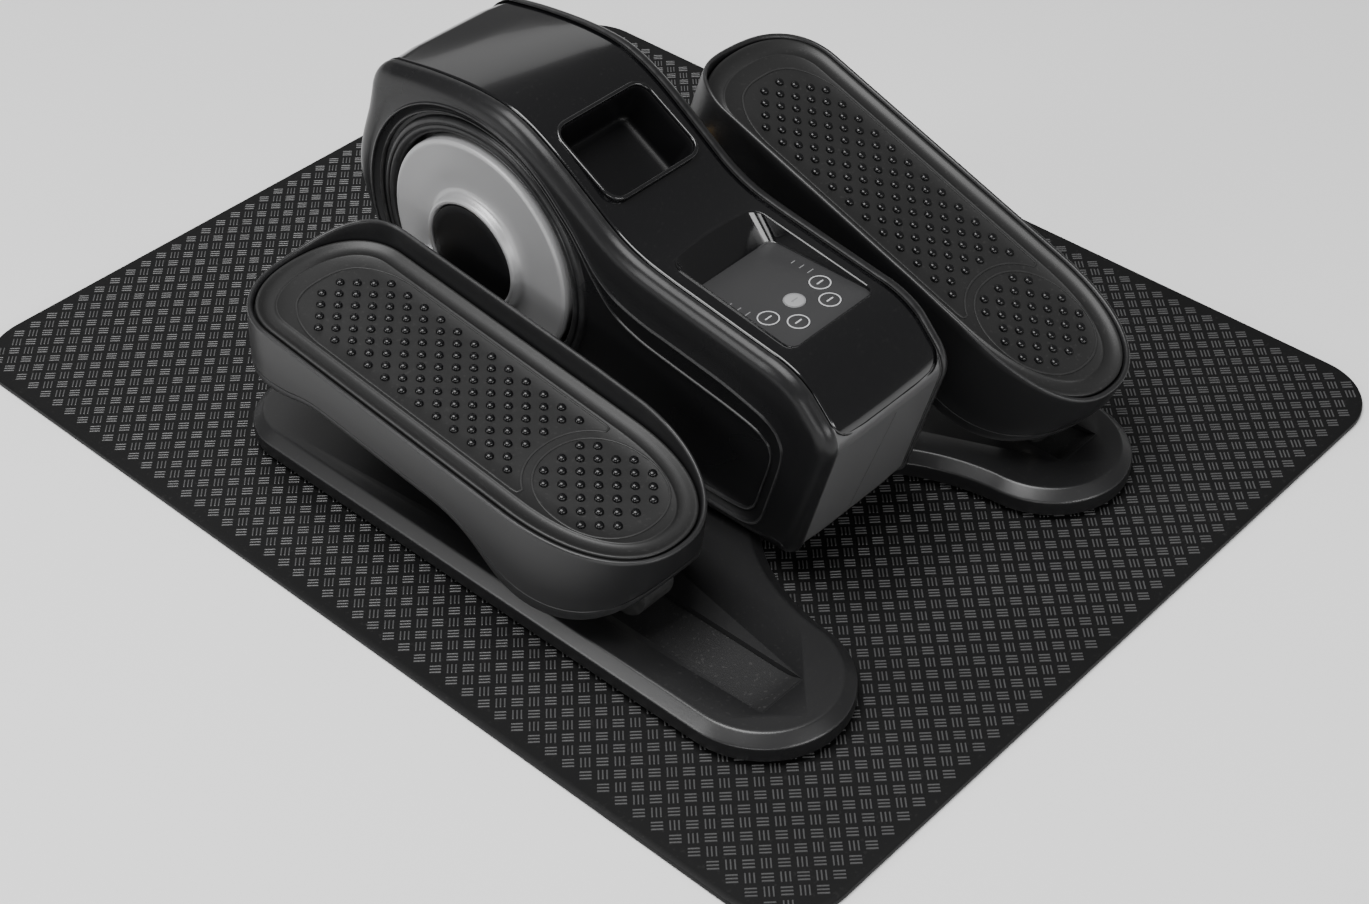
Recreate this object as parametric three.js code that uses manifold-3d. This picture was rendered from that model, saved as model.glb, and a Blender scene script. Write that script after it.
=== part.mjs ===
// Motorised pedal exerciser: a centre housing on a two-lobed base, a crank disc on each side,
// and two pedals that hang on the crank pins and roll on the base at their heel ends.
// Millimetres, +Z up. X runs across, +Y towards the toes, the user sits on the -Y side.
import * as THREE from "three";
import { mergeVertices } from "three/addons/utils/BufferGeometryUtils.js";
import Module from "manifold-3d";

const wasm = await Module();
wasm.setup();

// ---- driving dimensions ----
const GAP = 0.3; // air between neighbouring pieces
const SIDES = { left: -1, right: 1 };

const MAT = { x0: -258, x1: 345, y0: -303, y1: 430, thick: 4, corner: 45 };
const BASE = { halfWidth: 190, front: -232, rear: 232, bottom: 3, top: 20, chamfer: 7 };
const LOBE = { inner: 81, frontRadiusX: 54.5, frontRadiusY: 57, rearCorner: 44 };
const TRACK = { center: 140, width: 30, y0: -200, y1: -42, floor: 15.5 };
const FOOT = { radius: 13, x: 150, yFront: -175, yRear: 190 };

const HOUSING = { half: 48, shellFace: 58, skin: 3, bottom: 20.3, rear: 205, noseSplit: 118.8, rearSplit: 206 };
const RECESS = { radius: 77, floor: 46, floorThick: 3 };
const CRANK = { y: 122.4, z: 125.8, radius: 58, restAngle: -29, discRadius: 75, face: 60 };
const SHAFT_RADIUS = 8;
const SHAFT_END = 52.4;
const HUB = { radius: 34, proud: 6.5, thick: 13.5 }; // the cap fills a collar raised on the disc's face
const PIN = { radius: 8, end: 68.9 };
const PULLEY = { radius: 62, x0: -20, x1: -8 };
const MOTOR = { y: 2, z: 92, pulleyRadius: 10, gearboxRadius: 24, canRadius: 19 };
const BELT = { width: 8, thick: 1.6 };
const IDLER = { y: 40, radius: 9 };
const PLATE = { x0: 36, x1: 39 };

const PANEL = { half: 38.5, y0: -113.4, y1: -19, filmRear: -31, z: 156.5, rise: 16.5 };
const KEY = { radius: 6.8, proud: 0.5, places: [[-23, -82], [0, -82], [23, -82], [-14, -97], [14, -97]] };
const POCKET = { y: 48.7, z: 209.8, slope: 30, halfLength: 27.5, halfWidth: 36.5, corner: 9, wall: 2, depth: 33 };

const PEDAL = { length: 332, inner: 85, outer: 200, heelRound: 90, toeRound: 46, wall: 3, rim: 11 };
const PEDAL_AXLE = { y: 38, z: -55 }; // roller axle, measured from the heel end of the rim
const PEDAL_PIN = { y: 297.4, z: -27 }; // stub axle, measured from the same point
const GUARD = { height: 17, thick: 7 };
const ROLLER = { radius: 22, width: 24, axleZ: 38.5, axleRadius: 5, hubRadius: 13 };

// ---- materials ----
const material = (color, roughness, metalness = 0) => () =>
  new THREE.MeshStandardMaterial({ color, roughness, metalness });
const glossBlack = material(0x0b0b0c, 0.08);
const satinBlack = material(0x161617, 0.42);
const mattBlack = material(0x1b1b1c, 0.75);
const rubberBlack = material(0x121213, 0.9);
const matRubber = material(0x202021, 0.85);
const satinGrey = material(0x8f8f8f, 0.38, 0.35);
const satinGreyDark = material(0x2c2c2d, 0.5);
const keyGrey = material(0xc9c9cb, 0.5);
const steel = material(0xb9bcc0, 0.3, 1);
const blackSteel = material(0x2b2d30, 0.45, 0.8);
const bronze = material(0xa9793c, 0.4, 1);
const nylon = material(0xdedbd0, 0.55);
const circuitGreen = material(0x1f5a3a, 0.6);

// ---- small tools ----
function toSolid(geometry) {
  const bare = geometry.clone();
  bare.deleteAttribute("normal");
  bare.deleteAttribute("uv");
  const merged = mergeVertices(bare, 1e-3);
  return new wasm.Manifold(new wasm.Mesh({
    numProp: 3,
    vertProperties: Float32Array.from(merged.attributes.position.array),
    triVerts: Uint32Array.from(merged.index.array),
  }));
}

function toGeometry(solid) {
  const mesh = solid.getMesh();
  const geometry = new THREE.BufferGeometry();
  geometry.setAttribute("position", new THREE.BufferAttribute(mesh.vertProperties, 3));
  geometry.setIndex(new THREE.BufferAttribute(mesh.triVerts, 1));
  geometry.computeVertexNormals();
  return geometry;
}

const cut = (geometry, ...tools) =>
  toGeometry(tools.reduce((body, tool) => body.subtract(toSolid(tool)), toSolid(geometry)));
const join = (geometry, ...others) =>
  toGeometry(others.reduce((body, other) => body.add(toSolid(other)), toSolid(geometry)));
const common = (geometry, ...others) =>
  toGeometry(others.reduce((body, other) => body.intersect(toSolid(other)), toSolid(geometry)));

function box(x0, x1, y0, y1, z0, z1) {
  const [a, b] = x0 < x1 ? [x0, x1] : [x1, x0];
  return new THREE.BoxGeometry(b - a, y1 - y0, z1 - z0)
    .translate((a + b) / 2, (y0 + y1) / 2, (z0 + z1) / 2);
}

// A cylinder along X between two x values, in either order.
function rod(radius, x0, x1, y, z, segments = 24) {
  return new THREE.CylinderGeometry(radius, radius, Math.abs(x1 - x0), segments)
    .rotateZ(Math.PI / 2).translate((x0 + x1) / 2, y, z);
}

// A round plate turned about the X axis: profile points are [radius, x].
function turned(profile, side, y, z, segments = 48) {
  const points = profile.map(([radius, x]) => new THREE.Vector2(radius, x));
  return new THREE.LatheGeometry(points, segments)
    .rotateZ(-Math.PI / 2).rotateY(side > 0 ? 0 : Math.PI).translate(0, y, z);
}

const circleHole = (y, z, radius) => {
  const hole = new THREE.Path();
  hole.absarc(y, z, radius, 0, 2 * Math.PI, true);
  return hole;
};

const toShape = (points) => new THREE.Shape(points.map(([a, b]) => new THREE.Vector2(a, b)));

// An outline in the YZ plane given a thickness along X.
function slab(shape, x0, x1, options = {}) {
  const [a, b] = x0 < x1 ? [x0, x1] : [x1, x0];
  const upright = new THREE.Matrix4().makeBasis(
    new THREE.Vector3(0, 1, 0), new THREE.Vector3(0, 0, 1), new THREE.Vector3(1, 0, 0));
  const settings = { depth: b - a, bevelEnabled: false, curveSegments: 24, ...options };
  return new THREE.ExtrudeGeometry(shape, settings).applyMatrix4(upright).translate(a, 0, 0);
}

// An outline in the XY plane given a thickness along Z.
function plate(shape, z0, z1, options = {}) {
  const settings = { depth: z1 - z0, bevelEnabled: false, curveSegments: 16, ...options };
  return new THREE.ExtrudeGeometry(shape, settings).translate(0, 0, z0);
}

// The same outline moved inwards by a distance, point by point.
function inset(points, distance) {
  const count = points.length;
  return points.map(([y, z], i) => {
    const before = points[(i + count - 1) % count];
    const after = points[(i + 1) % count];
    const [dy, dz] = [after[0] - before[0], after[1] - before[1]];
    const size = Math.hypot(dy, dz);
    return [y - (distance * dz) / size, z + (distance * dy) / size];
  });
}

function roundedRectangle(x0, x1, y0, y1, r) {
  const shape = new THREE.Shape();
  shape.moveTo(x0 + r, y0);
  shape.lineTo(x1 - r, y0);
  shape.absarc(x1 - r, y0 + r, r, -Math.PI / 2, 0);
  shape.lineTo(x1, y1 - r);
  shape.absarc(x1 - r, y1 - r, r, 0, Math.PI / 2);
  shape.lineTo(x0 + r, y1);
  shape.absarc(x0 + r, y1 - r, r, Math.PI / 2, Math.PI);
  shape.lineTo(x0, y0 + r);
  shape.absarc(x0 + r, y0 + r, r, Math.PI, 1.5 * Math.PI);
  return shape;
}

const model = new THREE.Group();
const machine = new THREE.Group();
machine.position.z = MAT.thick;
model.add(machine);

function piece(name, geometry, makeMaterial, parent = machine) {
  const mesh = new THREE.Mesh(geometry, makeMaterial());
  mesh.name = name;
  parent.add(mesh);
  return mesh;
}

// ---- floor mat ----
piece("floor_mat", plate(roundedRectangle(MAT.x0, MAT.x1, MAT.y0, MAT.y1, MAT.corner), 0, MAT.thick,
  { curveSegments: 8 }), matRubber, model);

// ---- base ----
function baseShape() {
  const { halfWidth, front, rear } = BASE;
  const lobeX = halfWidth - LOBE.frontRadiusX;
  const lobeY = front + LOBE.frontRadiusY;
  const corner = LOBE.rearCorner;
  const shape = new THREE.Shape();
  shape.moveTo(-44, -96);
  shape.lineTo(44, -96);
  shape.bezierCurveTo(56, -108, 76, -134, LOBE.inner, lobeY);
  shape.absellipse(lobeX, lobeY, LOBE.frontRadiusX, LOBE.frontRadiusY, Math.PI, 2 * Math.PI, false, 0);
  shape.lineTo(halfWidth, rear - corner);
  shape.absarc(halfWidth - corner, rear - corner, corner, 0, Math.PI / 2);
  shape.lineTo(corner - halfWidth, rear);
  shape.absarc(corner - halfWidth, rear - corner, corner, Math.PI / 2, Math.PI);
  shape.lineTo(-halfWidth, lobeY);
  shape.absellipse(-lobeX, lobeY, LOBE.frontRadiusX, LOBE.frontRadiusY, Math.PI, 2 * Math.PI, false, 0);
  shape.bezierCurveTo(-76, -134, -56, -108, -44, -96);
  return shape;
}

function buildBase() {
  const { bottom, top, chamfer } = BASE;
  const rise = 6; // height of the chamfer
  const body = plate(baseShape(), 0, top - rise, {
    bevelEnabled: true, bevelThickness: rise, bevelSize: chamfer, bevelOffset: -chamfer, bevelSegments: 1,
    curveSegments: 10 });
  const keep = box(-300, 300, -300, 300, bottom, top);
  const tracks = Object.values(SIDES).map((side) => {
    const middle = side * TRACK.center;
    return plate(roundedRectangle(middle - TRACK.width / 2, middle + TRACK.width / 2, TRACK.y0, TRACK.y1, 6),
      TRACK.floor, top + 5, { curveSegments: 4 });
  });
  piece("base_plate", cut(common(body, keep), ...tracks), satinBlack);
}
buildBase();

for (const [sideName, side] of Object.entries(SIDES)) {
  for (const [endName, y] of [["front", FOOT.yFront], ["rear", FOOT.yRear]]) {
    const height = BASE.bottom - 2 * GAP;
    const pad = new THREE.CylinderGeometry(FOOT.radius, FOOT.radius, height, 24).rotateX(Math.PI / 2)
      .translate(side * FOOT.x, y, GAP + height / 2);
    piece(`foot_${endName}_${sideName}`, pad, rubberBlack);
  }
}

// ---- housing ----
// Side outline of the housing, anticlockwise seen from +X: under the nose, up the rear, over the top.
function housingOutline() {
  const shape = new THREE.Shape();
  shape.moveTo(-131, HOUSING.bottom);
  shape.lineTo(HOUSING.rear, HOUSING.bottom);
  shape.lineTo(HOUSING.rear, 58);
  shape.splineThru([[214, 76], [226, 98], [234, 120], [237, 140], [232, 162], [222, 188], [216, 208]]
    .map(([y, z]) => new THREE.Vector2(y, z)));
  shape.quadraticCurveTo(211, 222, 196, 228);
  shape.splineThru([[165, 233], [130, 236], [102, 235], [84, 230], [66, 221], [49, 210], [31, 197.5],
    [11, 184], [-8, 176], [-31, 171]].map(([y, z]) => new THREE.Vector2(y, z)));
  shape.lineTo(-104, 159);
  shape.quadraticCurveTo(-124, 157, -137, 146);
  shape.lineTo(-149, 133);
  shape.quadraticCurveTo(-158, 123, -156.5, 112);
  return shape.getPoints(3).map((point) => [point.x, point.y]);
}
const outline = housingOutline().filter(([y, z], i, all) =>
  i === 0 || Math.hypot(y - all[i - 1][0], z - all[i - 1][1]) > 0.5);
const innerOutline = inset(outline, HOUSING.skin);

function buildShell(name, side) {
  const { half, shellFace, skin } = HOUSING;
  const edge = 5;
  const [x0, x1] = side > 0 ? [half + GAP, shellFace] : [-shellFace, -half - GAP];
  const rounded = {
    bevelEnabled: true, bevelThickness: edge, bevelSize: edge, bevelOffset: -edge, bevelSegments: 2 };
  const blank = side > 0
    ? slab(toShape(outline), x0 - 20, x1 - edge, rounded)
    : slab(toShape(outline), x0 + edge, x1 + 20, rounded);
  const body = common(blank, box(x0, x1, -300, 300, 0, 300));
  const hollow = slab(toShape(inset(outline, skin + 4)), side * (half - 5), side * (shellFace - skin));
  const cup = rod(RECESS.radius + skin, side * (RECESS.floor - RECESS.floorThick), side * (shellFace - 1),
    CRANK.y, CRANK.z, 48);
  const recess = rod(RECESS.radius, side * RECESS.floor, side * (shellFace + 5), CRANK.y, CRANK.z, 48);
  const shaftHole = rod(SHAFT_RADIUS + 4, side * 30, side * 70, CRANK.y, CRANK.z, 32);
  piece(name, cut(join(cut(body, hollow), cup), recess, shaftHole), satinBlack);
}
for (const [sideName, side] of Object.entries(SIDES)) buildShell(`${sideName}_shell`, side);

// The band between the two shells, before it is parted into cover, front and rear.
function centreBand() {
  const shape = toShape(outline);
  shape.holes.push(new THREE.Path(innerOutline.slice().reverse().map(([y, z]) => new THREE.Vector2(y, z))));
  return slab(shape, -HOUSING.half, HOUSING.half);
}

// The carry pocket is a tray let into the slope, built in its own turned frame.
function pocketPlan(grow) {
  const { halfWidth, halfLength, corner } = POCKET;
  return roundedRectangle(-halfWidth - grow, halfWidth + grow, -halfLength - grow, halfLength + grow, corner + grow);
}
const pocketPlace = (geometry) =>
  geometry.rotateX(THREE.MathUtils.degToRad(POCKET.slope)).translate(0, POCKET.y, POCKET.z);

function buildCentre() {
  const band = centreBand();
  const { noseSplit, rearSplit } = HOUSING;
  const small = { curveSegments: 4 };
  const panelHole = box(-PANEL.half - GAP, PANEL.half + GAP, PANEL.y0 - GAP, PANEL.y1 + GAP, PANEL.z - 8, 190);
  const pocketHole = pocketPlace(plate(pocketPlan(POCKET.wall + GAP), -20, 20, small));
  const lowerBand = box(-80, 80, -300, 300, 0, noseSplit);
  const rearBand = box(-80, 80, 100, 300, noseSplit - 1, rearSplit);
  piece("top_cover", cut(band, lowerBand, rearBand, panelHole, pocketHole), glossBlack);
  const front = box(-80, 80, -300, -100, HOUSING.bottom + 4, noseSplit - GAP);
  piece("front_panel", common(band, front), satinGreyDark);
  const rear = box(-80, 80, 180, 300, HOUSING.bottom + 4, rearSplit - GAP);
  const inletHole = new THREE.CylinderGeometry(6, 6, 30, 24).translate(0, HOUSING.rear, 42);
  piece("rear_panel", cut(common(band, rear), inletHole), satinBlack);
  const cup = cut(pocketPlace(plate(pocketPlan(POCKET.wall), -POCKET.depth, 1.5, small)),
    pocketPlace(plate(pocketPlan(0), POCKET.wall - POCKET.depth, 10, small)));
  piece("handle_cup", cup, glossBlack);
}
buildCentre();

// ---- control panel ----
function buildControls() {
  const { half, y0, y1, filmRear, z, rise } = PANEL;
  const wall = 1.6;
  const wedge = slab(toShape([[y0, z - 3], [y1, z - 3], [y1, z + rise - 1], [y0, z + 1.2]]), -half, half);
  const tray = slab(toShape([[y0 + wall, z], [filmRear, z], [y1 - wall, z + rise], [y1 - wall, z + 40],
    [y0 + wall, z + 40]]), wall - half, half - wall);
  const keyHoles = KEY.places.map(([x, y]) =>
    new THREE.CylinderGeometry(KEY.radius + GAP, KEY.radius + GAP, 20, 24).rotateX(Math.PI / 2).translate(x, y, z));
  piece("control_fascia", cut(wedge, tray, ...keyHoles), mattBlack);
  KEY.places.forEach(([x, y], i) => {
    const height = 3.5;
    const cap = new THREE.CylinderGeometry(KEY.radius, KEY.radius, height, 24).rotateX(Math.PI / 2)
      .translate(x, y, z + KEY.proud - height / 2);
    piece(`key_${i + 1}`, cap, i === 1 ? keyGrey : mattBlack);
  });
  piece("key_board", box(-half + 3, half - 3, y0 + 4, y1 - 4, z - 7.5, z - 6), circuitGreen);
  piece("driver_board", box(-33, -31.4, -115, -45, 45, 110), circuitGreen);
  const inlet = join(new THREE.CylinderGeometry(5.6, 5.6, 20, 24).translate(0, HOUSING.rear - 9, 42),
    new THREE.CylinderGeometry(8, 8, 3, 24).translate(0, HOUSING.rear - HOUSING.skin - 2, 42));
  const socket = new THREE.CylinderGeometry(2.8, 2.8, 14, 16).translate(0, HOUSING.rear - 3, 42);
  piece("power_inlet", cut(inlet, socket), mattBlack);
}
buildControls();

// ---- frame and drive ----
function framePlateShape() {
  const shape = toShape([[-40, 22], [205, 22], [196, 60], [152, 140], [136, 154], [110, 154], [84, 126],
    [26, 122], [-28, 122], [-40, 104]]);
  shape.holes.push(circleHole(CRANK.y, CRANK.z, 18 + GAP));
  return shape;
}

function beltLoop(grow) {
  const [bigR, smallR] = [PULLEY.radius + grow, MOTOR.pulleyRadius + grow];
  const [dy, dz] = [MOTOR.y - CRANK.y, MOTOR.z - CRANK.z];
  const along = Math.atan2(dz, dy);
  const spread = Math.acos((bigR - smallR) / Math.hypot(dy, dz));
  const arc = (cy, cz, r, from, to, steps) => Array.from({ length: steps + 1 }, (_, i) => {
    const angle = from + ((to - from) * i) / steps;
    return [cy + r * Math.cos(angle), cz + r * Math.sin(angle)];
  });
  return [
    ...arc(CRANK.y, CRANK.z, bigR, along + spread, along - spread + 2 * Math.PI, 32),
    ...arc(MOTOR.y, MOTOR.z, smallR, along - spread, along + spread, 10)];
}

// Height of the belt's lower run above a given y, on its outer face.
function beltUnderside(y) {
  const grow = GAP + BELT.thick;
  const loop = beltLoop(grow);
  const [start, end] = [loop[loop.length - 1], loop[0]];
  const slope = Math.atan2(end[1] - start[1], end[0] - start[0]);
  return { z: start[1] + (y - start[0]) * Math.tan(slope), slope };
}

function buildDrive() {
  const { y, z } = CRANK;
  for (const [sideName, side] of Object.entries(SIDES)) {
    const plateBody = slab(framePlateShape(), side * PLATE.x0, side * PLATE.x1, { curveSegments: 32 });
    piece(`frame_plate_${sideName}`, plateBody, blackSteel);
    const bearing = cut(rod(18, side * 34.5, side * 40.5, y, z, 48),
      rod(SHAFT_RADIUS + GAP, side * 30, side * 45, y, z, 48));
    piece(`shaft_bearing_${sideName}`, bearing, steel);
  }
  piece("crank_shaft", rod(SHAFT_RADIUS, -SHAFT_END, SHAFT_END, y, z, 32), steel);

  const [pulleyX0, pulleyX1] = [PULLEY.x0 + 1, PULLEY.x1 - 1];
  const lightening = Array.from({ length: 5 }, (_, i) => {
    const angle = (2 * Math.PI * i) / 5;
    return rod(13, PULLEY.x0 - 5, PULLEY.x1 + 5, y + 35 * Math.cos(angle), z + 35 * Math.sin(angle), 16);
  });
  const pulley = cut(rod(PULLEY.radius, pulleyX0, pulleyX1, y, z, 48),
    rod(SHAFT_RADIUS + GAP, PULLEY.x0 - 5, PULLEY.x1 + 5, y, z, 32), ...lightening);
  piece("drive_pulley", pulley, nylon);
  piece("sensor_magnet", rod(4, PULLEY.x1 - 0.7, PULLEY.x1 + 2.3, y, z + 54, 16), steel);
  piece("speed_sensor", box(PULLEY.x1 + 5, PULLEY.x1 + 9, y - 7, y + 7, z + 47, z + 61), circuitGreen);

  const beltShape = toShape(beltLoop(GAP + BELT.thick));
  beltShape.holes.push(new THREE.Path(beltLoop(GAP).reverse().map(([a, b]) => new THREE.Vector2(a, b))));
  const beltX = (PULLEY.x0 + PULLEY.x1) / 2;
  piece("drive_belt", slab(beltShape, beltX - BELT.width / 2, beltX + BELT.width / 2), rubberBlack);

  piece("motor_pulley", cut(rod(MOTOR.pulleyRadius, pulleyX0, pulleyX1, MOTOR.y, MOTOR.z, 24),
    rod(3 + GAP, PULLEY.x0 - 5, PULLEY.x1 + 5, MOTOR.y, MOTOR.z, 16)), steel);
  piece("motor_gearbox", join(rod(MOTOR.gearboxRadius, -4, 13, MOTOR.y, MOTOR.z, 32),
    rod(3, pulleyX0, -3, MOTOR.y, MOTOR.z, 16)), steel);
  piece("motor_can", rod(MOTOR.canRadius, 13 + GAP, PLATE.x0 - GAP, MOTOR.y, MOTOR.z, 32), blackSteel);

  const run = beltUnderside(IDLER.y);
  const reach = IDLER.radius + GAP;
  const idlerY = IDLER.y + reach * Math.sin(run.slope);
  const idlerZ = run.z - reach * Math.cos(run.slope);
  piece("idler_pin", rod(3, -PLATE.x0 + GAP, PULLEY.x1, idlerY, idlerZ, 16), steel);
  piece("idler_wheel", cut(rod(IDLER.radius, pulleyX0, pulleyX1, idlerY, idlerZ, 24),
    rod(3 + GAP, PULLEY.x0 - 5, PULLEY.x1 + 5, idlerY, idlerZ, 16)), nylon);
}
buildDrive();

// ---- crank discs ----
const crankPinPlace = (side) => {
  const angle = THREE.MathUtils.degToRad(CRANK.restAngle + (side > 0 ? 180 : 0));
  return [CRANK.y + CRANK.radius * Math.cos(angle), CRANK.z + CRANK.radius * Math.sin(angle)];
};

for (const [sideName, side] of Object.entries(SIDES)) {
  const { y, z, discRadius, face } = CRANK;
  const [pinY, pinZ] = crankPinPlace(side);
  const back = RECESS.floor + 2;
  const capFace = face + HUB.proud;
  const capBack = capFace - HUB.thick;
  const discProfile = [[0, back], [discRadius - 2, back], [discRadius, back + 2], [discRadius, face - 2.5],
    [discRadius - 2.5, face], [HUB.radius + 8, face], [HUB.radius + 5.2, face + 1.4],
    [HUB.radius + 4.2, face + HUB.proud - 0.4], [HUB.radius + 3.2, face + HUB.proud + 0.6],
    [HUB.radius + 1.4, face + HUB.proud + 0.6], [HUB.radius + GAP, face + HUB.proud - 0.4],
    [HUB.radius + GAP, capBack - GAP], [0, capBack - GAP]];
  const disc = cut(turned(discProfile, side, y, z),
    rod(SHAFT_RADIUS + GAP, side * 40, side * (SHAFT_END + 5), y, z, 32),
    rod(PIN.radius + GAP, side * 50, side * 70, pinY, pinZ, 24));
  piece(`crank_disc_${sideName}`, disc, satinGrey);
  const capProfile = [[0, capBack], [HUB.radius, capBack], [HUB.radius, capFace - 0.6],
    [HUB.radius - 0.8, capFace], [0, capFace]];
  piece(`hub_cap_${sideName}`, turned(capProfile, side, y, z, 48), satinBlack);
  piece(`crank_pin_${sideName}`, rod(PIN.radius, side * (50 + GAP), side * PIN.end, pinY, pinZ, 24), steel);
}

// ---- pedals ----
// Each pedal's frame starts at the heel end of its rim: y runs to the toe, z up from the rim.
function pedalPlace(side) {
  const [pinY, pinZ] = crankPinPlace(side);
  const [dy, dz] = [PEDAL_PIN.y - PEDAL_AXLE.y, PEDAL_PIN.z - PEDAL_AXLE.z];
  const reach = Math.hypot(dy, dz);
  const lean = Math.asin((pinZ - ROLLER.axleZ) / reach);
  const pitch = lean - Math.atan2(dz, dy);
  const axleY = pinY - reach * Math.cos(lean);
  const [c, s] = [Math.cos(pitch), Math.sin(pitch)];
  return { pitch, axleY,
    heelY: axleY - PEDAL_AXLE.y * c + PEDAL_AXLE.z * s,
    heelZ: ROLLER.axleZ - PEDAL_AXLE.y * s - PEDAL_AXLE.z * c };
}

// Plan of the pedal: a long oval, squarer at the toe, drawn inside its edge by a margin.
function pedalPlan(side, margin, steps = 12) {
  const middle = (side * (PEDAL.inner + PEDAL.outer)) / 2;
  const half = (PEDAL.outer - PEDAL.inner) / 2 - margin;
  const power = 2 / 2.25;
  const bend = (value) => Math.sign(value) * Math.abs(value) ** power;
  const end = (center, depth, from) => Array.from({ length: steps + 1 }, (_, i) => {
    const angle = from + (Math.PI * i) / steps;
    return [middle + half * bend(Math.cos(angle)), center + depth * bend(Math.sin(angle))];
  });
  return toShape([
    ...end(PEDAL.length - PEDAL.toeRound, PEDAL.toeRound - margin, 0),
    ...end(PEDAL.heelRound, PEDAL.heelRound - margin, Math.PI)]);
}

// Side view of the skirt: shallow along the sole, deep and round at the heel.
function skirtProfile() {
  const shape = new THREE.Shape();
  shape.moveTo(-5, 0);
  shape.lineTo(-5, -6);
  shape.bezierCurveTo(2, -34, 24, -60, 62, -61);
  shape.bezierCurveTo(104, -61, 100, -35, 146, -34);
  shape.lineTo(236, -34);
  shape.bezierCurveTo(262, -34, 262, -44, 292, -45);
  shape.bezierCurveTo(316, -45, 328, -34, PEDAL.length + 5, -18);
  shape.lineTo(PEDAL.length + 5, 0);
  return shape;
}

function guardProfile() {
  const { height } = GUARD;
  const shape = new THREE.Shape();
  shape.moveTo(40, -4);
  shape.bezierCurveTo(58, 2, 60, height, 84, height);
  shape.lineTo(276, height);
  shape.bezierCurveTo(306, height, 318, 6, 334, -4);
  return shape;
}

function buildPedal(sideName, side) {
  const { pitch, heelY, heelZ } = pedalPlace(side);
  const group = new THREE.Group();
  group.position.set(0, heelY, heelZ);
  group.rotation.x = pitch;
  machine.add(group);
  const { wall, rim, inner, outer } = PEDAL;
  const wide = [side * (inner - 5), side * (outer + 5)];

  const body = common(plate(pedalPlan(side, 0), -62, 0), slab(skirtProfile(), ...wide, { curveSegments: 8 }));
  const guardRing = plate(pedalPlan(side, 0), -6, GUARD.height);
  const guard = common(cut(guardRing, plate(pedalPlan(side, GUARD.thick), -10, GUARD.height + 5)),
    slab(guardProfile(), side * (inner - 5), side * (inner + 45), { curveSegments: 8 }));
  const hollow = plate(pedalPlan(side, wall), -80, -10);
  const seat = plate(pedalPlan(side, rim), -6, GUARD.height + 5);
  const pinHole = rod(PIN.radius + 5, side * (inner - 5), side * (inner + 14), PEDAL_PIN.y, PEDAL_PIN.z, 24);
  piece(`pedal_shell_${sideName}`, cut(join(cut(body, hollow), guard), seat, pinHole), satinBlack, group);
  piece(`footbed_${sideName}`, plate(pedalPlan(side, rim + GAP), -6 + GAP, -2.4), rubberBlack, group);

  const block = cut(common(
    box(side * inner, side * (inner + 45), PEDAL_PIN.y - 15, PEDAL_PIN.y + 15, -39, -10 - GAP),
    plate(pedalPlan(side, wall + GAP), -50, 0)),
    rod(PIN.radius + 3 + GAP, side * (inner - 10), side * (inner + 30), PEDAL_PIN.y, PEDAL_PIN.z, 32));
  piece(`pivot_block_${sideName}`, block, mattBlack, group);
  const bush = cut(rod(PIN.radius + 3, side * (inner - 6), side * (inner + 29), PEDAL_PIN.y, PEDAL_PIN.z, 32),
    rod(PIN.radius + GAP, side * (inner - 20), side * (inner + 40), PEDAL_PIN.y, PEDAL_PIN.z, 32));
  piece(`pivot_bush_${sideName}`, bush, bronze, group);
  piece(`stub_axle_${sideName}`, rod(PIN.radius, side * (PIN.end + 0.4), side * (inner + 28.5),
    PEDAL_PIN.y, PEDAL_PIN.z, 32), steel, group);

  const middle = side * TRACK.center;
  const { y, z } = PEDAL_AXLE;
  const cheek = (x0, x1) => cut(box(x0, x1, y - 11, y + 11, z - 9, -10 - GAP),
    rod(ROLLER.axleRadius + GAP, x0 - 5, x1 + 5, y, z, 24));
  const bridge = box(middle - 20, middle + 20, y - 11, y + 11, -14, -10 - GAP);
  piece(`roller_bracket_${sideName}`,
    join(bridge, cheek(middle - 20, middle - 16), cheek(middle + 16, middle + 20)), blackSteel, group);
}

function buildRoller(sideName, side) {
  const { axleY } = pedalPlace(side);
  const middle = side * TRACK.center;
  const { radius, width, axleZ, axleRadius, hubRadius } = ROLLER;
  const across = (r, half, segments) => rod(r, middle - half, middle + half, axleY, axleZ, segments);
  piece(`roller_axle_${sideName}`, across(axleRadius, 22, 24), steel);
  piece(`roller_hub_${sideName}`,
    cut(across(hubRadius, width / 2 + 1, 32), across(axleRadius + GAP, 30, 24)), nylon);
  piece(`roller_tyre_${sideName}`,
    cut(across(radius, width / 2, 48), across(hubRadius + GAP, 30, 32)), rubberBlack);
}

for (const [sideName, side] of Object.entries(SIDES)) {
  buildPedal(sideName, side);
  buildRoller(sideName, side);
}

export default model;
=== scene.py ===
"""Looks of the motorised pedal exerciser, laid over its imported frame.

Metres, +Z up. X runs across the machine, +Y towards the toes. Sizes below are in millimetres
above the mat's top face, as a maker's drawing gives them, and are turned into metres once.
"""
import math

import bmesh
import bpy
import numpy as np
from mathutils import Matrix, Vector


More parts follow.
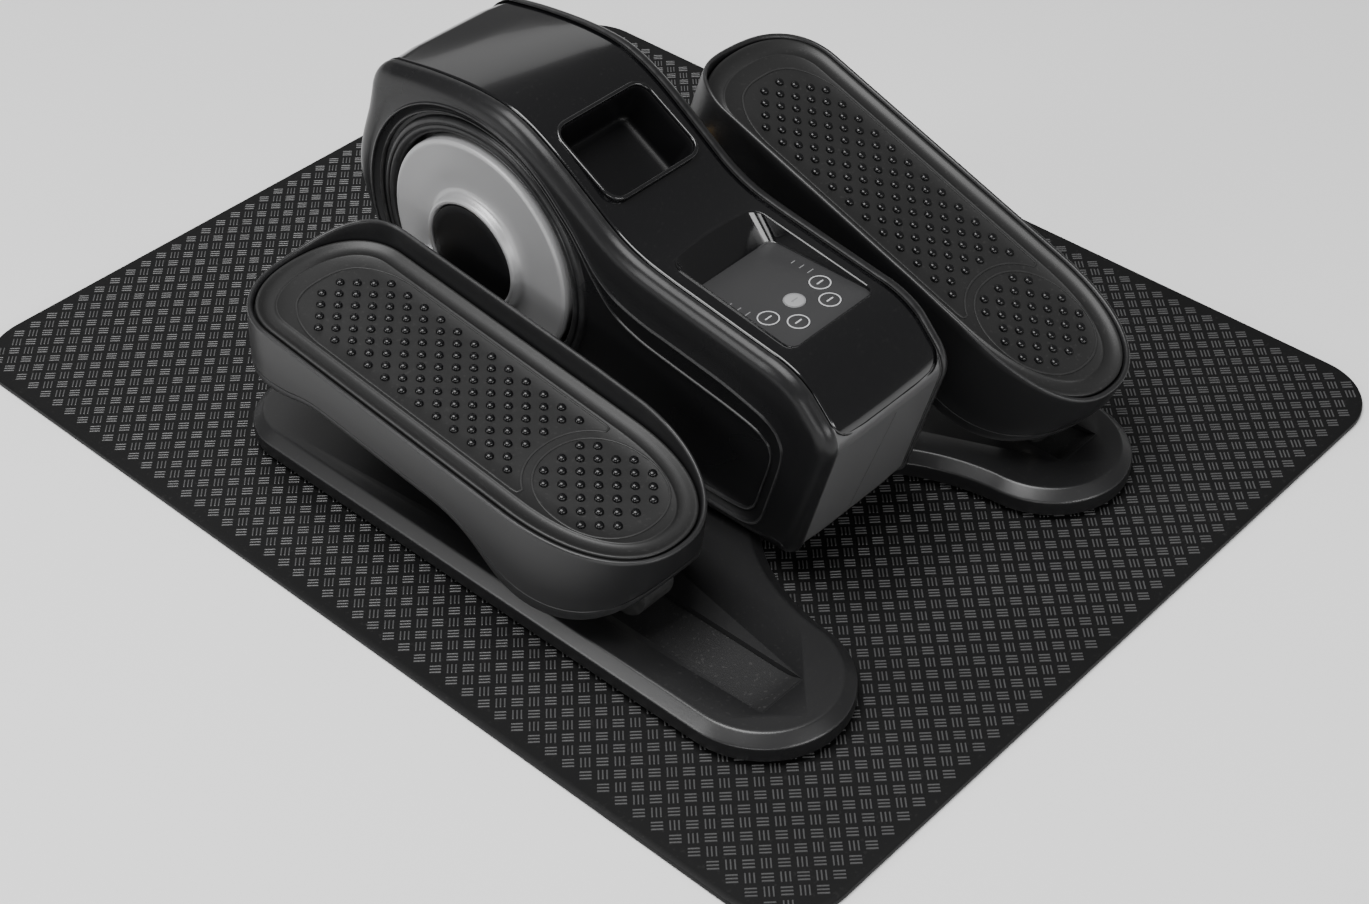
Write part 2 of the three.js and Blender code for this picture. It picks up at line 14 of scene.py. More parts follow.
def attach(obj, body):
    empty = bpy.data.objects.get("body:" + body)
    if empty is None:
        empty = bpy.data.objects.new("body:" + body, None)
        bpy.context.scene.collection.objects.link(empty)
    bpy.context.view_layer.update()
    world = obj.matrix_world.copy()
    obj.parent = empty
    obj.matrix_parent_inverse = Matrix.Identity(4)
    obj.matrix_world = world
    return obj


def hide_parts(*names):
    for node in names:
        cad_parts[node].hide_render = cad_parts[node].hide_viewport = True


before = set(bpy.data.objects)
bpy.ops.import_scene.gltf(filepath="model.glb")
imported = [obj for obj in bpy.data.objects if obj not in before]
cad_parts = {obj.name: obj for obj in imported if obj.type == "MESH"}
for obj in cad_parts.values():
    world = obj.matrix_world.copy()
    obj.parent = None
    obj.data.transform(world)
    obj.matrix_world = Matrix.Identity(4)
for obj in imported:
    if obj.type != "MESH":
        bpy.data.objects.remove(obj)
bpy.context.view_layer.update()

bl_info = {
    "name": "Pedal Exerciser",
    "version": (1, 0, 0),
    "blender": (4, 5, 0),
    "location": "View3D > Sidebar > Exerciser",
    "description": "Builds the shells, pedals, mat and finishes of a motorised pedal exerciser",
    "category": "Add Mesh",
}

MM = 0.001
MAT_TOP = 4.0  # the mat's thickness, under every height below
SIDES = {"left": -1, "right": 1}
DISC_CENTER = (122.4, 125.8)
DISC_RADIUS = 75.0


# ---------------------------------------------------------------- mesh tools

def to_world(points):
    """Millimetres above the mat's top, to metres in the frame."""
    return [(x * MM, y * MM, (z + MAT_TOP) * MM) for x, y, z in points]


def new_object(name, verts, faces, finish_name, body, replaces=(), smooth_angle=40):
    """A mesh object in the row frame, on its body, with its finish and shading set."""
    mesh = bpy.data.meshes.new(name)
    mesh.from_pydata(verts, [], faces)
    mesh.validate()
    obj = bpy.data.objects.new(name, mesh)
    bpy.context.scene.collection.objects.link(obj)
    mesh.materials.append(finish(finish_name))
    outward(mesh)
    shade(obj, smooth_angle)
    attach(obj, body)
    if replaces:
        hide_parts(*replaces)
    return obj


def outward(mesh):
    """Turns every face of a closed mesh to the outside."""
    bm = bmesh.new()
    bm.from_mesh(mesh)
    bmesh.ops.recalc_face_normals(bm, faces=bm.faces)
    if bm.calc_volume(signed=True) < 0:
        bmesh.ops.reverse_faces(bm, faces=bm.faces)
    bm.to_mesh(mesh)
    bm.free()


def shade(obj, angle):
    """Smooth shading, with edges sharper than an angle left crisp."""
    mesh = obj.data
    mesh.polygons.foreach_set("use_smooth", [True] * len(mesh.polygons))
    mesh.set_sharp_from_angle(angle=math.radians(angle))


def loft(rings, start_cap=True, end_cap=True):
    """Skins a row of closed rings of equal length. Returns (verts, faces)."""
    count = len(rings[0])
    verts = [point for ring in rings for point in ring]
    faces = []
    for row in range(len(rings) - 1):
        low, high = row * count, (row + 1) * count
        for i in range(count):
            j = (i + 1) % count
            faces.append((low + i, low + j, high + j, high + i))
    if start_cap:
        faces.append(tuple(range(count)))
    if end_cap:
        last = (len(rings) - 1) * count
        faces.append(tuple(range(last, last + count)))
    return verts, faces


def closed_loft(rings):
    """Skins rings whose last one meets the first again."""
    return loft(rings + [rings[0]], start_cap=False, end_cap=False)


def merge(parts):
    """Joins several (verts, faces) into one."""
    verts, faces = [], []
    for part_verts, part_faces in parts:
        shift = len(verts)
        verts.extend(part_verts)
        faces.extend(tuple(i + shift for i in face) for face in part_faces)
    return verts, faces


def smoothstep(low, high, value):
    t = min(1.0, max(0.0, (value - low) / (high - low)))
    return t * t * (3 - 2 * t)


def catmull_rom(points, steps):
    """A smooth curve through points, its ends running straight into the first and last."""
    out = []
    for i in range(len(points) - 1):
        p0 = points[max(i - 1, 0)]
        p1, p2 = points[i], points[i + 1]
        p3 = points[min(i + 2, len(points) - 1)]
        for k in range(steps):
            t = k / steps
            out.append(tuple(
                0.5 * ((2 * b) + (c - a) * t + (2 * a - 5 * b + 4 * c - d) * t ** 2
                       + (3 * b - a - 3 * c + d) * t ** 3)
                for a, b, c, d in zip(p0, p1, p2, p3)))
    out.append(tuple(points[-1]))
    return out


def quadratic(p0, p1, p2, steps):
    return [tuple((1 - t) ** 2 * a + 2 * t * (1 - t) * b + t * t * c for a, b, c in zip(p0, p1, p2))
            for t in (k / steps for k in range(steps + 1))]


def cubic(p0, p1, p2, p3, steps):
    return [tuple((1 - t) ** 3 * a + 3 * t * (1 - t) ** 2 * b + 3 * t * t * (1 - t) * c + t ** 3 * d
                  for a, b, c, d in zip(p0, p1, p2, p3)) for t in (k / steps for k in range(steps + 1))]


def resample(points, count, closed=True):
    """The same line with evenly spaced points."""
    line = np.array(points + ([points[0]] if closed else []), dtype=float)
    gaps = np.linalg.norm(np.diff(line, axis=0), axis=1)
    keep = np.concatenate([[True], gaps > 1e-6])
    line = line[keep]
    along = np.concatenate([[0], np.cumsum(np.linalg.norm(np.diff(line, axis=0), axis=1))])
    at = np.linspace(0, along[-1], count, endpoint=not closed)
    return np.stack([np.interp(at, along, line[:, k]) for k in range(line.shape[1])], axis=1)


def left_normals(line, reach=3):
    """Unit normals to the left of a closed line's direction, averaged over a few points."""
    ahead = np.roll(line, -reach, axis=0) - np.roll(line, reach, axis=0)
    normals = np.stack([-ahead[:, 1], ahead[:, 0]], axis=1)
    return normals / np.linalg.norm(normals, axis=1)[:, None]


def arc_points(center, radius, start, end, steps):
    """Points of an arc from one angle to another, in degrees."""
    return [(center[0] + radius * math.cos(math.radians(start + (end - start) * k / steps)),
             center[1] + radius * math.sin(math.radians(start + (end - start) * k / steps)))
            for k in range(steps + 1)]


def circle(center, radius, count=48):
    return arc_points(center, radius, 0, 360, count)[:-1]


def level_circle(center, radius, z):
    """A circle lying level, in metres."""
    return to_world([(x, y, z) for x, y in circle(center, radius)])


def rounded_rect(half_x, half_y, radius, per_corner=8):
    """A rounded rectangle about the origin, anticlockwise."""
    points = []
    for cx, cy, start in ((1, -1, -90), (1, 1, 0), (-1, 1, 90), (-1, -1, 180)):
        center = (cx * (half_x - radius), cy * (half_y - radius))
        points += arc_points(center, radius, start, start + 90, per_corner)
    return points


def lathe(profile, side, center, count=128):
    """A piece turned about the X axis: profile points are (radius, distance from the middle)."""
    return loft([to_world([(side * x, y, z) for y, z in circle(center, radius, count)])
                 for radius, x in profile])


def subtract(obj, cutter_name, verts, faces):
    """Cuts a closed shape out of an object and applies the cut."""
    mesh = bpy.data.meshes.new(cutter_name)
    mesh.from_pydata(verts, [], faces)
    outward(mesh)
    cutter = bpy.data.objects.new(cutter_name, mesh)
    bpy.context.scene.collection.objects.link(cutter)
    modifier = obj.modifiers.new("cut", "BOOLEAN")
    modifier.operation = "DIFFERENCE"
    modifier.solver = "MANIFOLD"
    modifier.object = cutter
    depsgraph = bpy.context.evaluated_depsgraph_get()
    cut_mesh = bpy.data.meshes.new_from_object(obj.evaluated_get(depsgraph))
    obj.modifiers.clear()
    obj.data = cut_mesh
    bpy.data.objects.remove(cutter)


# ---------------------------------------------------------------- finishes

def node_group(name, inputs, outputs):
    """An empty shader group with its sockets, and its input and output nodes."""
    group = bpy.data.node_groups.new(name, "ShaderNodeTree")
    for label, kind, default in inputs:
        socket = group.interface.new_socket(name=label, in_out="INPUT", socket_type=kind)
        socket.default_value = default
    for label, kind in outputs:
        group.interface.new_socket(name=label, in_out="OUTPUT", socket_type=kind)
    return group, group.nodes.new("NodeGroupInput"), group.nodes.new("NodeGroupOutput")


def math_node(nodes, links, operation, a, b):
    """A math node fed by sockets or numbers. Returns its output."""
    node = nodes.new("ShaderNodeMath")
    node.operation = operation
    for socket, value in zip(node.inputs, (a, b)):
        if isinstance(value, (int, float)):
            socket.default_value = value
        else:
            links.new(value, socket)
    return node.outputs[0]


def noise_node(nodes, links, coords, scale, detail=2.0):
    node = nodes.new("ShaderNodeTexNoise")
    node.inputs["Detail"].default_value = detail
    if isinstance(scale, (int, float)):
        node.inputs["Scale"].default_value = scale
    else:
        links.new(scale, node.inputs["Scale"])
    links.new(coords, node.inputs["Vector"])
    return node.outputs["Fac"]


def mix_colors(nodes, links, factor, a, b):
    node = nodes.new("ShaderNodeMix")
    node.data_type = "RGBA"
    links.new(factor, node.inputs["Factor"])
    links.new(a, node.inputs["A"])
    links.new(b, node.inputs["B"])
    return node.outputs["Result"]


def make_surface_group():
    """Moulded surface: colour drift, edges lightened partly as rubbed wear and partly as a painted highlight,
    settled dust, roughness drift and grain height.
    """
    group, source, sink = node_group("moulded_surface", (
        ("Color", "NodeSocketColor", (0.02, 0.02, 0.02, 1)),
        ("Wear And Glint Color", "NodeSocketColor", (0.1, 0.1, 0.1, 1)),
        ("Wear And Glint Amount", "NodeSocketFloat", 0.3),
        ("Dust Amount", "NodeSocketFloat", 0.05),
        ("Roughness", "NodeSocketFloat", 0.4),
        ("Roughness Drift", "NodeSocketFloat", 0.08),
        ("Grain Scale", "NodeSocketFloat", 900.0),
    ), (("Color", "NodeSocketColor"), ("Roughness", "NodeSocketFloat"), ("Height", "NodeSocketFloat")))
    nodes, links = group.nodes, group.links
    coords = nodes.new("ShaderNodeTexCoord").outputs["Object"]
    geometry = nodes.new("ShaderNodeNewGeometry")

    drift = noise_node(nodes, links, coords, 9.0, 3.0)
    fine = noise_node(nodes, links, coords, 160.0, 4.0)
    darker = nodes.new("ShaderNodeHueSaturation")
    darker.inputs["Value"].default_value = 0.78
    links.new(source.outputs["Color"], darker.inputs["Color"])
    base = mix_colors(nodes, links, drift, darker.outputs["Color"], source.outputs["Color"])

    # Lightens convex edges: partly rubbed wear, partly a painted highlight standing in for the fine glints along
    # ridges and lips.
    edge = math_node(nodes, links, "SUBTRACT", geometry.outputs["Pointiness"], 0.515)
    edge = math_node(nodes, links, "MULTIPLY", edge, 9.0)
    edge = math_node(nodes, links, "MULTIPLY", edge, fine)
    edge = math_node(nodes, links, "MAXIMUM", edge, 0.0)
    edge = math_node(nodes, links, "MULTIPLY", edge, source.outputs["Wear And Glint Amount"])
    edge = math_node(nodes, links, "MINIMUM", edge, 1.0)
    worn_and_glinted = mix_colors(nodes, links, edge, base, source.outputs["Wear And Glint Color"])

    up = nodes.new("ShaderNodeSeparateXYZ")
    links.new(geometry.outputs["Normal"], up.inputs[0])
    lying = math_node(nodes, links, "MAXIMUM", up.outputs["Z"], 0.0)
    specks = math_node(nodes, links, "GREATER_THAN", noise_node(nodes, links, coords, 420.0, 2.0), 0.66)
    patches = math_node(nodes, links, "MULTIPLY", drift, specks)
    dust = math_node(nodes, links, "MULTIPLY", patches, lying)
    dust = math_node(nodes, links, "MULTIPLY", dust, source.outputs["Dust Amount"])
    pale = nodes.new("ShaderNodeRGB")
    pale.outputs[0].default_value = (0.32, 0.31, 0.3, 1)
    dusty = mix_colors(nodes, links, dust, worn_and_glinted, pale.outputs[0])

    wander = math_node(nodes, links, "SUBTRACT", drift, 0.5)
    wander = math_node(nodes, links, "MULTIPLY", wander, source.outputs["Roughness Drift"])
    rough = math_node(nodes, links, "ADD", source.outputs["Roughness"], wander)
    rough = math_node(nodes, links, "ADD", rough, math_node(nodes, links, "MULTIPLY", dust, 0.4))

    links.new(dusty, sink.inputs["Color"])
    links.new(rough, sink.inputs["Roughness"])
    links.new(noise_node(nodes, links, coords, source.outputs["Grain Scale"], 2.0), sink.inputs["Height"])
    return group


# The edge colour and its amount lighten convex edges: partly wear, partly a painted highlight.
def make_finish(name, color, roughness, metallic=0.0, edge=(0.12, 0.12, 0.12), wear_and_glint_amount=0.25, dust=0.05,
                drift=0.08, grain=900.0, bump=0.05, coat=0.0, coat_roughness=0.05, specular=0.5,
                anisotropic=0.0):
    """One material built on the moulded surface group."""
    material = bpy.data.materials.new(name)
    material.use_nodes = True
    nodes, links = material.node_tree.nodes, material.node_tree.links
    shader = nodes["Principled BSDF"]
    surface = nodes.new("ShaderNodeGroup")
    surface.node_tree = bpy.data.node_groups["moulded_surface"]
    surface.inputs["Color"].default_value = (*color, 1)
    surface.inputs["Wear And Glint Color"].default_value = (*edge, 1)
    surface.inputs["Wear And Glint Amount"].default_value = wear_and_glint_amount
    surface.inputs["Dust Amount"].default_value = dust
    surface.inputs["Roughness"].default_value = roughness
    surface.inputs["Roughness Drift"].default_value = drift
    surface.inputs["Grain Scale"].default_value = grain
    links.new(surface.outputs["Color"], shader.inputs["Base Color"])
    links.new(surface.outputs["Roughness"], shader.inputs["Roughness"])
    height = nodes.new("ShaderNodeBump")
    height.inputs["Strength"].default_value = bump
    height.inputs["Distance"].default_value = 0.0003
    links.new(surface.outputs["Height"], height.inputs["Height"])
    links.new(height.outputs["Normal"], shader.inputs["Normal"])
    shader.inputs["Metallic"].default_value = metallic
    shader.inputs["Specular IOR Level"].default_value = specular
    shader.inputs["Coat Weight"].default_value = coat
    shader.inputs["Coat Roughness"].default_value = coat_roughness
    shader.inputs["Anisotropic"].default_value = anisotropic
    material.diffuse_color = (*color, 1)
    return material


def build_finishes(colors):
    """Every finish of the machine, made once, by name."""
    make_surface_group()
    black, gloss, grey = colors.body_black[:], colors.gloss_black[:], colors.disc_grey[:]
    rubber, mat = colors.rubber_black[:], colors.mat_black[:]
    make_finish("satin_black_plastic", black, 0.36, bump=0.1, grain=1400, dust=0.04, specular=0.6)
    make_finish("hub_black_plastic", gloss, 0.5, bump=0.05, grain=1400, dust=0.0, specular=0.2,
                wear_and_glint_amount=0.1)
    # The shells' and pedals' pale edge colours are a painted highlight on their ridges and lips as well as wear.
    make_finish("shell_black_plastic", black, 0.28, bump=0.02, grain=1400, dust=0.03, edge=(0.25, 0.25, 0.25),
                wear_and_glint_amount=0.5, specular=0.24)
    make_finish("pedal_black_plastic", black, 0.38, bump=0.1, grain=1300, dust=0.05, edge=(0.2, 0.2, 0.2),
                wear_and_glint_amount=0.4, specular=0.4)
    make_finish("gloss_black_plastic", gloss, 0.15, bump=0.006, grain=500, drift=0.04, coat=0.25,
                coat_roughness=0.04, wear_and_glint_amount=0.12, dust=0.02)
    make_finish("pocket_black_plastic", gloss, 0.42, bump=0.03, grain=900, wear_and_glint_amount=0.1, dust=0.02,
                specular=0.2)
    # The nose's grey tone, ten times the body black, is a painted reflection of the pale floor in its satin
    # undercut face.
    make_finish("nose_plastic_painted_reflection", (0.085, 0.085, 0.086), 0.3, bump=0.015, grain=1500, wear_and_glint_amount=0.1,
                dust=0.0)
    make_finish("panel_film", (0.024, 0.024, 0.025), 0.5, bump=0.12, grain=2200, wear_and_glint_amount=0.05, dust=0.02)
    make_finish("printed_grey", (0.2, 0.2, 0.205), 0.5, bump=0.03, wear_and_glint_amount=0.0, dust=0.0)
    make_finish("printed_mid", (0.3, 0.3, 0.305), 0.5, bump=0.03, wear_and_glint_amount=0.0, dust=0.0)
    make_finish("printed_light", (0.5, 0.5, 0.51), 0.45, bump=0.03, wear_and_glint_amount=0.0, dust=0.0)
    make_finish("footbed_rubber", rubber, 0.44, bump=0.12, grain=1100, drift=0.1, dust=0.05, specular=0.4)
    make_finish("stud_rubber", gloss, 0.22, bump=0.02, grain=1100, drift=0.06, dust=0.0, wear_and_glint_amount=0.0,
                specular=0.4)
    # Kept this dark partly as painted shade, so that the roller tyres under the pedals read as in shadow.
    make_finish("soft_black_rubber", (0.008, 0.008, 0.008), 0.62, bump=0.2, grain=1200, dust=0.05,
                specular=0.2)
    make_finish("sheet_rubber", mat, 0.5, bump=0.05, grain=1600, drift=0.12, dust=0.03, wear_and_glint_amount=0.0,
                specular=0.14)
    # Lighter than the sheet's rubber as a painted glint: the bars' tone stands in for their bright highlights.
    make_finish("tread_rubber_painted_glint", (0.055, 0.055, 0.056), 0.32, bump=0.06, grain=900, drift=0.2, dust=0.04,
                wear_and_glint_amount=0.25, specular=0.6)
    make_finish("track_grain", (0.016, 0.016, 0.0165), 0.5, bump=0.6, grain=1500, drift=0.15, dust=0.1,
                wear_and_glint_amount=0.0,
                specular=0.3)
    make_finish("satin_grey_metal", grey, 0.34, metallic=0.4, bump=0.04, grain=2400, edge=(0.6, 0.6, 0.6),
                wear_and_glint_amount=0.3, dust=0.03, anisotropic=0.6)
    make_finish("bright_steel", (0.56, 0.57, 0.58), 0.26, metallic=1.0, bump=0.05, grain=1500,
                edge=(0.75, 0.75, 0.75), anisotropic=0.4)
    # Black steel darkened further, and left non-metallic, as painted shade: the frame, motor and roller brackets
    # sit in shadow under the housing and pedals.
    make_finish("black_steel", (0.006, 0.006, 0.0065), 0.5, metallic=0.0, bump=0.1, grain=1300, specular=0.25)
    make_finish("bearing_bronze", (0.5, 0.33, 0.14), 0.35, metallic=1.0, bump=0.15, grain=1200,
                edge=(0.8, 0.6, 0.35))
    make_finish("pale_nylon", (0.68, 0.66, 0.6), 0.48, bump=0.08, grain=900, edge=(0.8, 0.78, 0.72))
    make_finish("green_board", (0.015, 0.12, 0.055), 0.4, bump=0.25, grain=420, edge=(0.4, 0.38, 0.2))
    radial_brushing("satin_grey_metal")


def radial_brushing(name):
    """Turns a finish's brushed sheen round the X axis, as on a faced disc."""
    tree = finish(name).node_tree
    tangent = tree.nodes.new("ShaderNodeTangent")
    tangent.direction_type = "RADIAL"
    tangent.axis = "X"
    tree.links.new(tangent.outputs["Tangent"], tree.nodes["Principled BSDF"].inputs["Tangent"])


def finish(name):
    return bpy.data.materials[name]


# ---------------------------------------------------------------- housing outline

SHELL_EDGE = 48.3  # where a side shell starts, just outside the cover
BAND_HALF = 47.6   # half width of the cover and of the nose and rear panels


def filleted(corner, before, after, radius):
    """Points of a rounded corner between two directions."""
    start = tuple(c + (b - c) * radius / math.dist(corner, before) for c, b in zip(corner, before))
    end = tuple(c + (a - c) * radius / math.dist(corner, after) for c, a in zip(corner, after))
    return quadratic(start, corner, end, 6)


def raw_outline():
    """Side outline of the housing as (y, z), anticlockwise seen from +X."""
    rear = [(205, 58), (214, 76), (226, 98), (234, 120), (237, 140), (232, 162), (222, 188), (216, 208)]
    top = [(196, 228), (165, 233), (130, 236), (102, 235), (84, 230), (66, 221), (49, 210), (31, 197.5),
           (11, 184), (-8, 176), (-31, 171)]
    front, back = (-131, 20.3), (205, 20.3)
    line = filleted(front, (-156.5, 112), back, 9)
    line += filleted(back, front, rear[0], 8)
    line += catmull_rom(rear, 10)
    line += quadratic((216, 208), (211, 222), (196, 228), 10)[1:]
    line += catmull_rom(top, 10)[1:]
    line += [(-104, 159)]
    line += quadratic((-104, 159), (-124, 157), (-137, 146), 10)[1:]
    line += [(-149, 133)]
    line += quadratic((-149, 133), (-158, 123), (-156.5, 112), 8)[1:]
    return line


def split_at(line, landmarks, counts):
    """A closed line as evenly spaced points between landmarks, so that like lines match point by point."""
    points = np.array(line, dtype=float)
    marks = [int(np.argmin(np.linalg.norm(points - np.array(mark), axis=1))) for mark in landmarks]
    out = []
    for start, end, count in zip(marks, marks[1:] + marks[:1], counts):
        if end <= start:
            end += len(points)
        part = [tuple(points[i % len(points)]) for i in range(start, end + 1)]
        out.append(resample(part, count + 1, closed=False)[:-1])
    return np.concatenate(out)


# Points between the landmarks: bottom, rear, hump, slope and nose.
SPANS = (110, 90, 110, 90, 60)
OUTLINE = split_at(raw_outline(), ((-131, 20.3), (205, 20.3), (216, 208), (-8, 176), (-149, 133)), SPANS)
OUTLINE_IN = left_normals(OUTLINE)


def cover_height(y):
    """Height of the housing's top surface at a given y."""
    top = OUTLINE[OUTLINE[:, 1] > 118]
    near = top[np.argsort(top[:, 0])]
    return float(np.interp(y, near[:, 0], near[:, 1]))


RIDGE_CENTER = (124.0, 125.5)


def outer_ridge():
    """The line where the side face steps in: round the disc, then forward along the slope to the nose."""
    line = [(-80, 31.4), (20, 31.2), (100, 31.0)]
    line += arc_points(RIDGE_CENTER, 97, -75, 138, 90)
    line += catmull_rom([(51.9, 190.4), (41, 179.5), (31.5, 167.5), (21.5, 155.5), (7, 145), (-13.5, 138.4),
                         (-37, 134.6), (-60.8, 130.8), (-80, 127.3), (-99, 122.3), (-111.5, 118), (-119, 112),
                         (-122.8, 103), (-122.3, 92), (-118.3, 76), (-112, 54), (-108.2, 42), (-102.5, 35),
                         (-94, 32), (-80, 31.4)], 6)[1:-1]
    return split_at(line, ((-103, 35), arc_points(RIDGE_CENTER, 97, -60, -60, 1)[0],
                           arc_points(RIDGE_CENTER, 97, 45, 45, 1)[0], (7, 145), (-119, 112)), SPANS)


def inner_ridge():
    """The lower edge of that step, about 6 mm inside it."""
    line = [(-78, 38), (20, 37.8), (88, 37.6)]
    line += arc_points(RIDGE_CENTER, 91, -72, 140, 90)
    line += catmull_rom([(54.3, 184), (44, 173.5), (35, 161), (26, 147.5), (11, 131.5), (-10, 122.4),
                         (-36.8, 117.2), (-63, 112.8), (-86, 108.6), (-101, 104.8), (-109.5, 99.8), (-113,
                                                                                                     92),
                         (-111.8, 82), (-107.3, 66.7), (-102.5, 50), (-99, 43.5), (-93, 39.5), (-78,
                                                                                                38)], 6)[1:-1]
    return split_at(line, ((-96, 41), arc_points(RIDGE_CENTER, 91, -60, -60, 1)[0],
                           arc_points(RIDGE_CENTER, 91, 45, 45, 1)[0], (11, 131.5), (-109.5, 99.8)), SPANS)


def disc_ring(radius):
    """A circle about the crank, its points matched to the ridge lines."""
    stops = (204, 300, 405, 536, 548, 564)
    points = []
    for start, end, count in zip(stops, stops[1:], SPANS):
        points += arc_points(DISC_CENTER, radius, start, end, count)[:-1]
    return np.array(points)


# ---------------------------------------------------------------- side shells

def shell_rings(side):
    """Rings from the inner lip over the shoulder, down the step, and round the disc into its recess."""
    shoulder = ((3.5, 49.2), (3.2, SHELL_EDGE), (0.7, SHELL_EDGE), (0.1, 48.8), (0.0, 49.6), (0.3, 51.2),
                (1.0, 52.8),
                (2.2, 54.5), (3.9, 55.9), (6.0, 57.0), (8.4, 57.6), (10.4, 57.8))
    curves = [(OUTLINE + OUTLINE_IN * inset, x) for inset, x in shoulder]
    outer, inner = outer_ridge(), inner_ridge()
    outer_in, inner_in = left_normals(outer), left_normals(inner)
    last = curves[-1][0]
    curves += [(last * 0.5 + (outer - outer_in * 2.2) * 0.5, 57.9), (outer - outer_in * 2.2, 57.8),
               (outer - outer_in * 1.4, 58.0), (outer - outer_in * 0.8, 58.8), (outer - outer_in * 0.2, 59.0),
               (outer + outer_in * 0.4, 58.6), (outer + outer_in * 0.9, 57.4), (inner - inner_in * 1.9, 55.6),
               (inner - inner_in * 1.2, 55.6), (inner - inner_in * 0.8, 56.3), (inner - inner_in * 0.2, 56.5),
               (inner + inner_in * 0.4, 56.0), (inner + inner_in * 0.9, 54.6)]
    curves += [(inner * (1 - t) + disc_ring(88.8) * t, 54.2) for t in (0.04, 0.25, 0.5, 0.75)]
    curves += [(disc_ring(radius), x) for radius, x in (
        (88.8, 54.2), (88.4, 54.8), (87.9, 56.0), (87.0, 56.9), (85.6, 57.3), (84.4, 57.2), (84.0, 56.8),
        (83.5, 56.8), (82.9, 57.4), (81.6, 57.7), (79.8, 57.4), (78.5, 56.6), (77.8, 55.2), (77.4, 52.0),
        (77.2, 46.4), (40.0, 46.2))]
    return [to_world([(side * x, y, z) for y, z in curve]) for curve, x in curves]


def build_shell(side_name, side):
    verts, faces = loft(shell_rings(side), start_cap=False)
    new_object(f"side_shell_{side_name}", verts, faces, "shell_black_plastic", "chassis",
               replaces=(f"{side_name}_shell",), smooth_angle=32)


# ---------------------------------------------------------------- cover, pocket and panels

POCKET = {"y": 48.7, "z": 209.8, "slope": 30.0, "half_y": 27.5, "half_x": 36.5, "corner": 9.0, "depth": 31.0}


def end_round(distance, radius):
    """How far a rounded end draws in, at a distance from the end."""
    if distance >= radius:
        return 0.0
    return radius - math.sqrt(max(radius ** 2 - (radius - distance) ** 2, 0.0))


def band(line, inset, thickness, edge, rounds):
    """A strip along the housing's outline, with soft long edges and rounded corners at its two ends."""
    line = np.array(line)
    along = np.concatenate([[0], np.cumsum(np.linalg.norm(np.diff(line, axis=0), axis=1))])
    total = along[-1]
    fine = {round(abs(end - radius * (1 - math.cos(math.pi / 2 * k / 12))), 3)
            for radius, end in zip(rounds, (0.0, total)) if radius for k in range(13)}
    stops = np.array(sorted(fine | {float(a) for a in along}))
    stops = stops[np.concatenate([[True], np.diff(stops) > 0.04])]
    path = np.stack([np.interp(stops, along, line[:, k]) for k in range(2)], axis=1)
    ahead = np.stack([np.interp(np.clip(stops + 1.5, 0, total), along, line[:, k])
                      - np.interp(np.clip(stops - 1.5, 0, total), along,
                                  line[:, k]) for k in range(2)], axis=1)
    out = np.stack([ahead[:, 1], -ahead[:, 0]], axis=1)
    out /= np.linalg.norm(out, axis=1)[:, None]
    curve = [(edge * (1 - math.sin(a)), edge * (math.cos(a) - 1)) for a in
             (math.pi / 2 * k / 5 for k in range(5, -1, -1))]
    rings = []
    for stop, (y, z), (ny, nz) in zip(stops, path, out):
        half = BAND_HALF - end_round(stop, rounds[0]) - end_round(total - stop, rounds[1])
        drop = inset + end_round(stop, edge) * 0.8 + end_round(total - stop, edge) * 0.8
        section = [(-half + a, b) for a, b in reversed(curve)]
        section += [(-half * 0.6, 0), (0, 0), (half * 0.6, 0)] + [(half - a, b) for a, b in curve]
        section += [(half, -thickness), (-half, -thickness)]
        rings.append(to_world([(x, y + ny * (h - drop), z + nz * (h - drop)) for x, h in section]))
    return loft(rings)


def outline_part(start, end):
    """The stretch of the housing outline between two of its points, in its own direction."""
    first = int(np.argmin(np.linalg.norm(OUTLINE - np.array(start), axis=1)))
    last = int(np.argmin(np.linalg.norm(OUTLINE - np.array(end), axis=1)))
    if last < first:
        last += len(OUTLINE)
    return [tuple(OUTLINE[i % len(OUTLINE)]) for i in range(first, last + 1)]


def pocket_ring(grow, height):
    """A ring of the pocket in its own sloping frame, in metres."""
    tilt = math.radians(POCKET["slope"])
    radius = max(POCKET["corner"] + grow, 3.0)
    ring = []
    for x, y in rounded_rect(POCKET["half_x"] + grow, POCKET["half_y"] + grow, radius, 10):
        ring.append((x, POCKET["y"] + y * math.cos(tilt) - height * math.sin(tilt),
                     POCKET["z"] + y * math.sin(tilt) + height * math.cos(tilt)))
    return to_world(ring)


PANEL = {"half": 37.4, "front": -112.4, "rear": -31.0, "corner": 7.0, "z": 156.5, "wall_rear": -20.5,
         "arch": 3.0}
INLET = {"z": 42.0, "radius": 6.2}


def panel_ring(grow, lift=0.0, flat=None, rear=None):
    """A ring round the key panel that follows the cover, or lies at a flat height."""
    top = PANEL["wall_rear"] if rear is None else rear
    half_y, middle = (top - PANEL["front"]) / 2, (top + PANEL["front"]) / 2
    radius = max(PANEL["corner"] + grow, 0.8)
    ring = []
    for x, y in rounded_rect(PANEL["half"] + grow, half_y + grow, radius, 8):
        if rear is None and y > 0:
            y += PANEL["arch"] * (1 - (x / (PANEL["half"] + grow)) ** 2) * smoothstep(half_y * 0.5, half_y, y)
        z = flat if flat is not None else cover_height(middle + y) + lift
        ring.append((x, middle + y, z))
    return ring


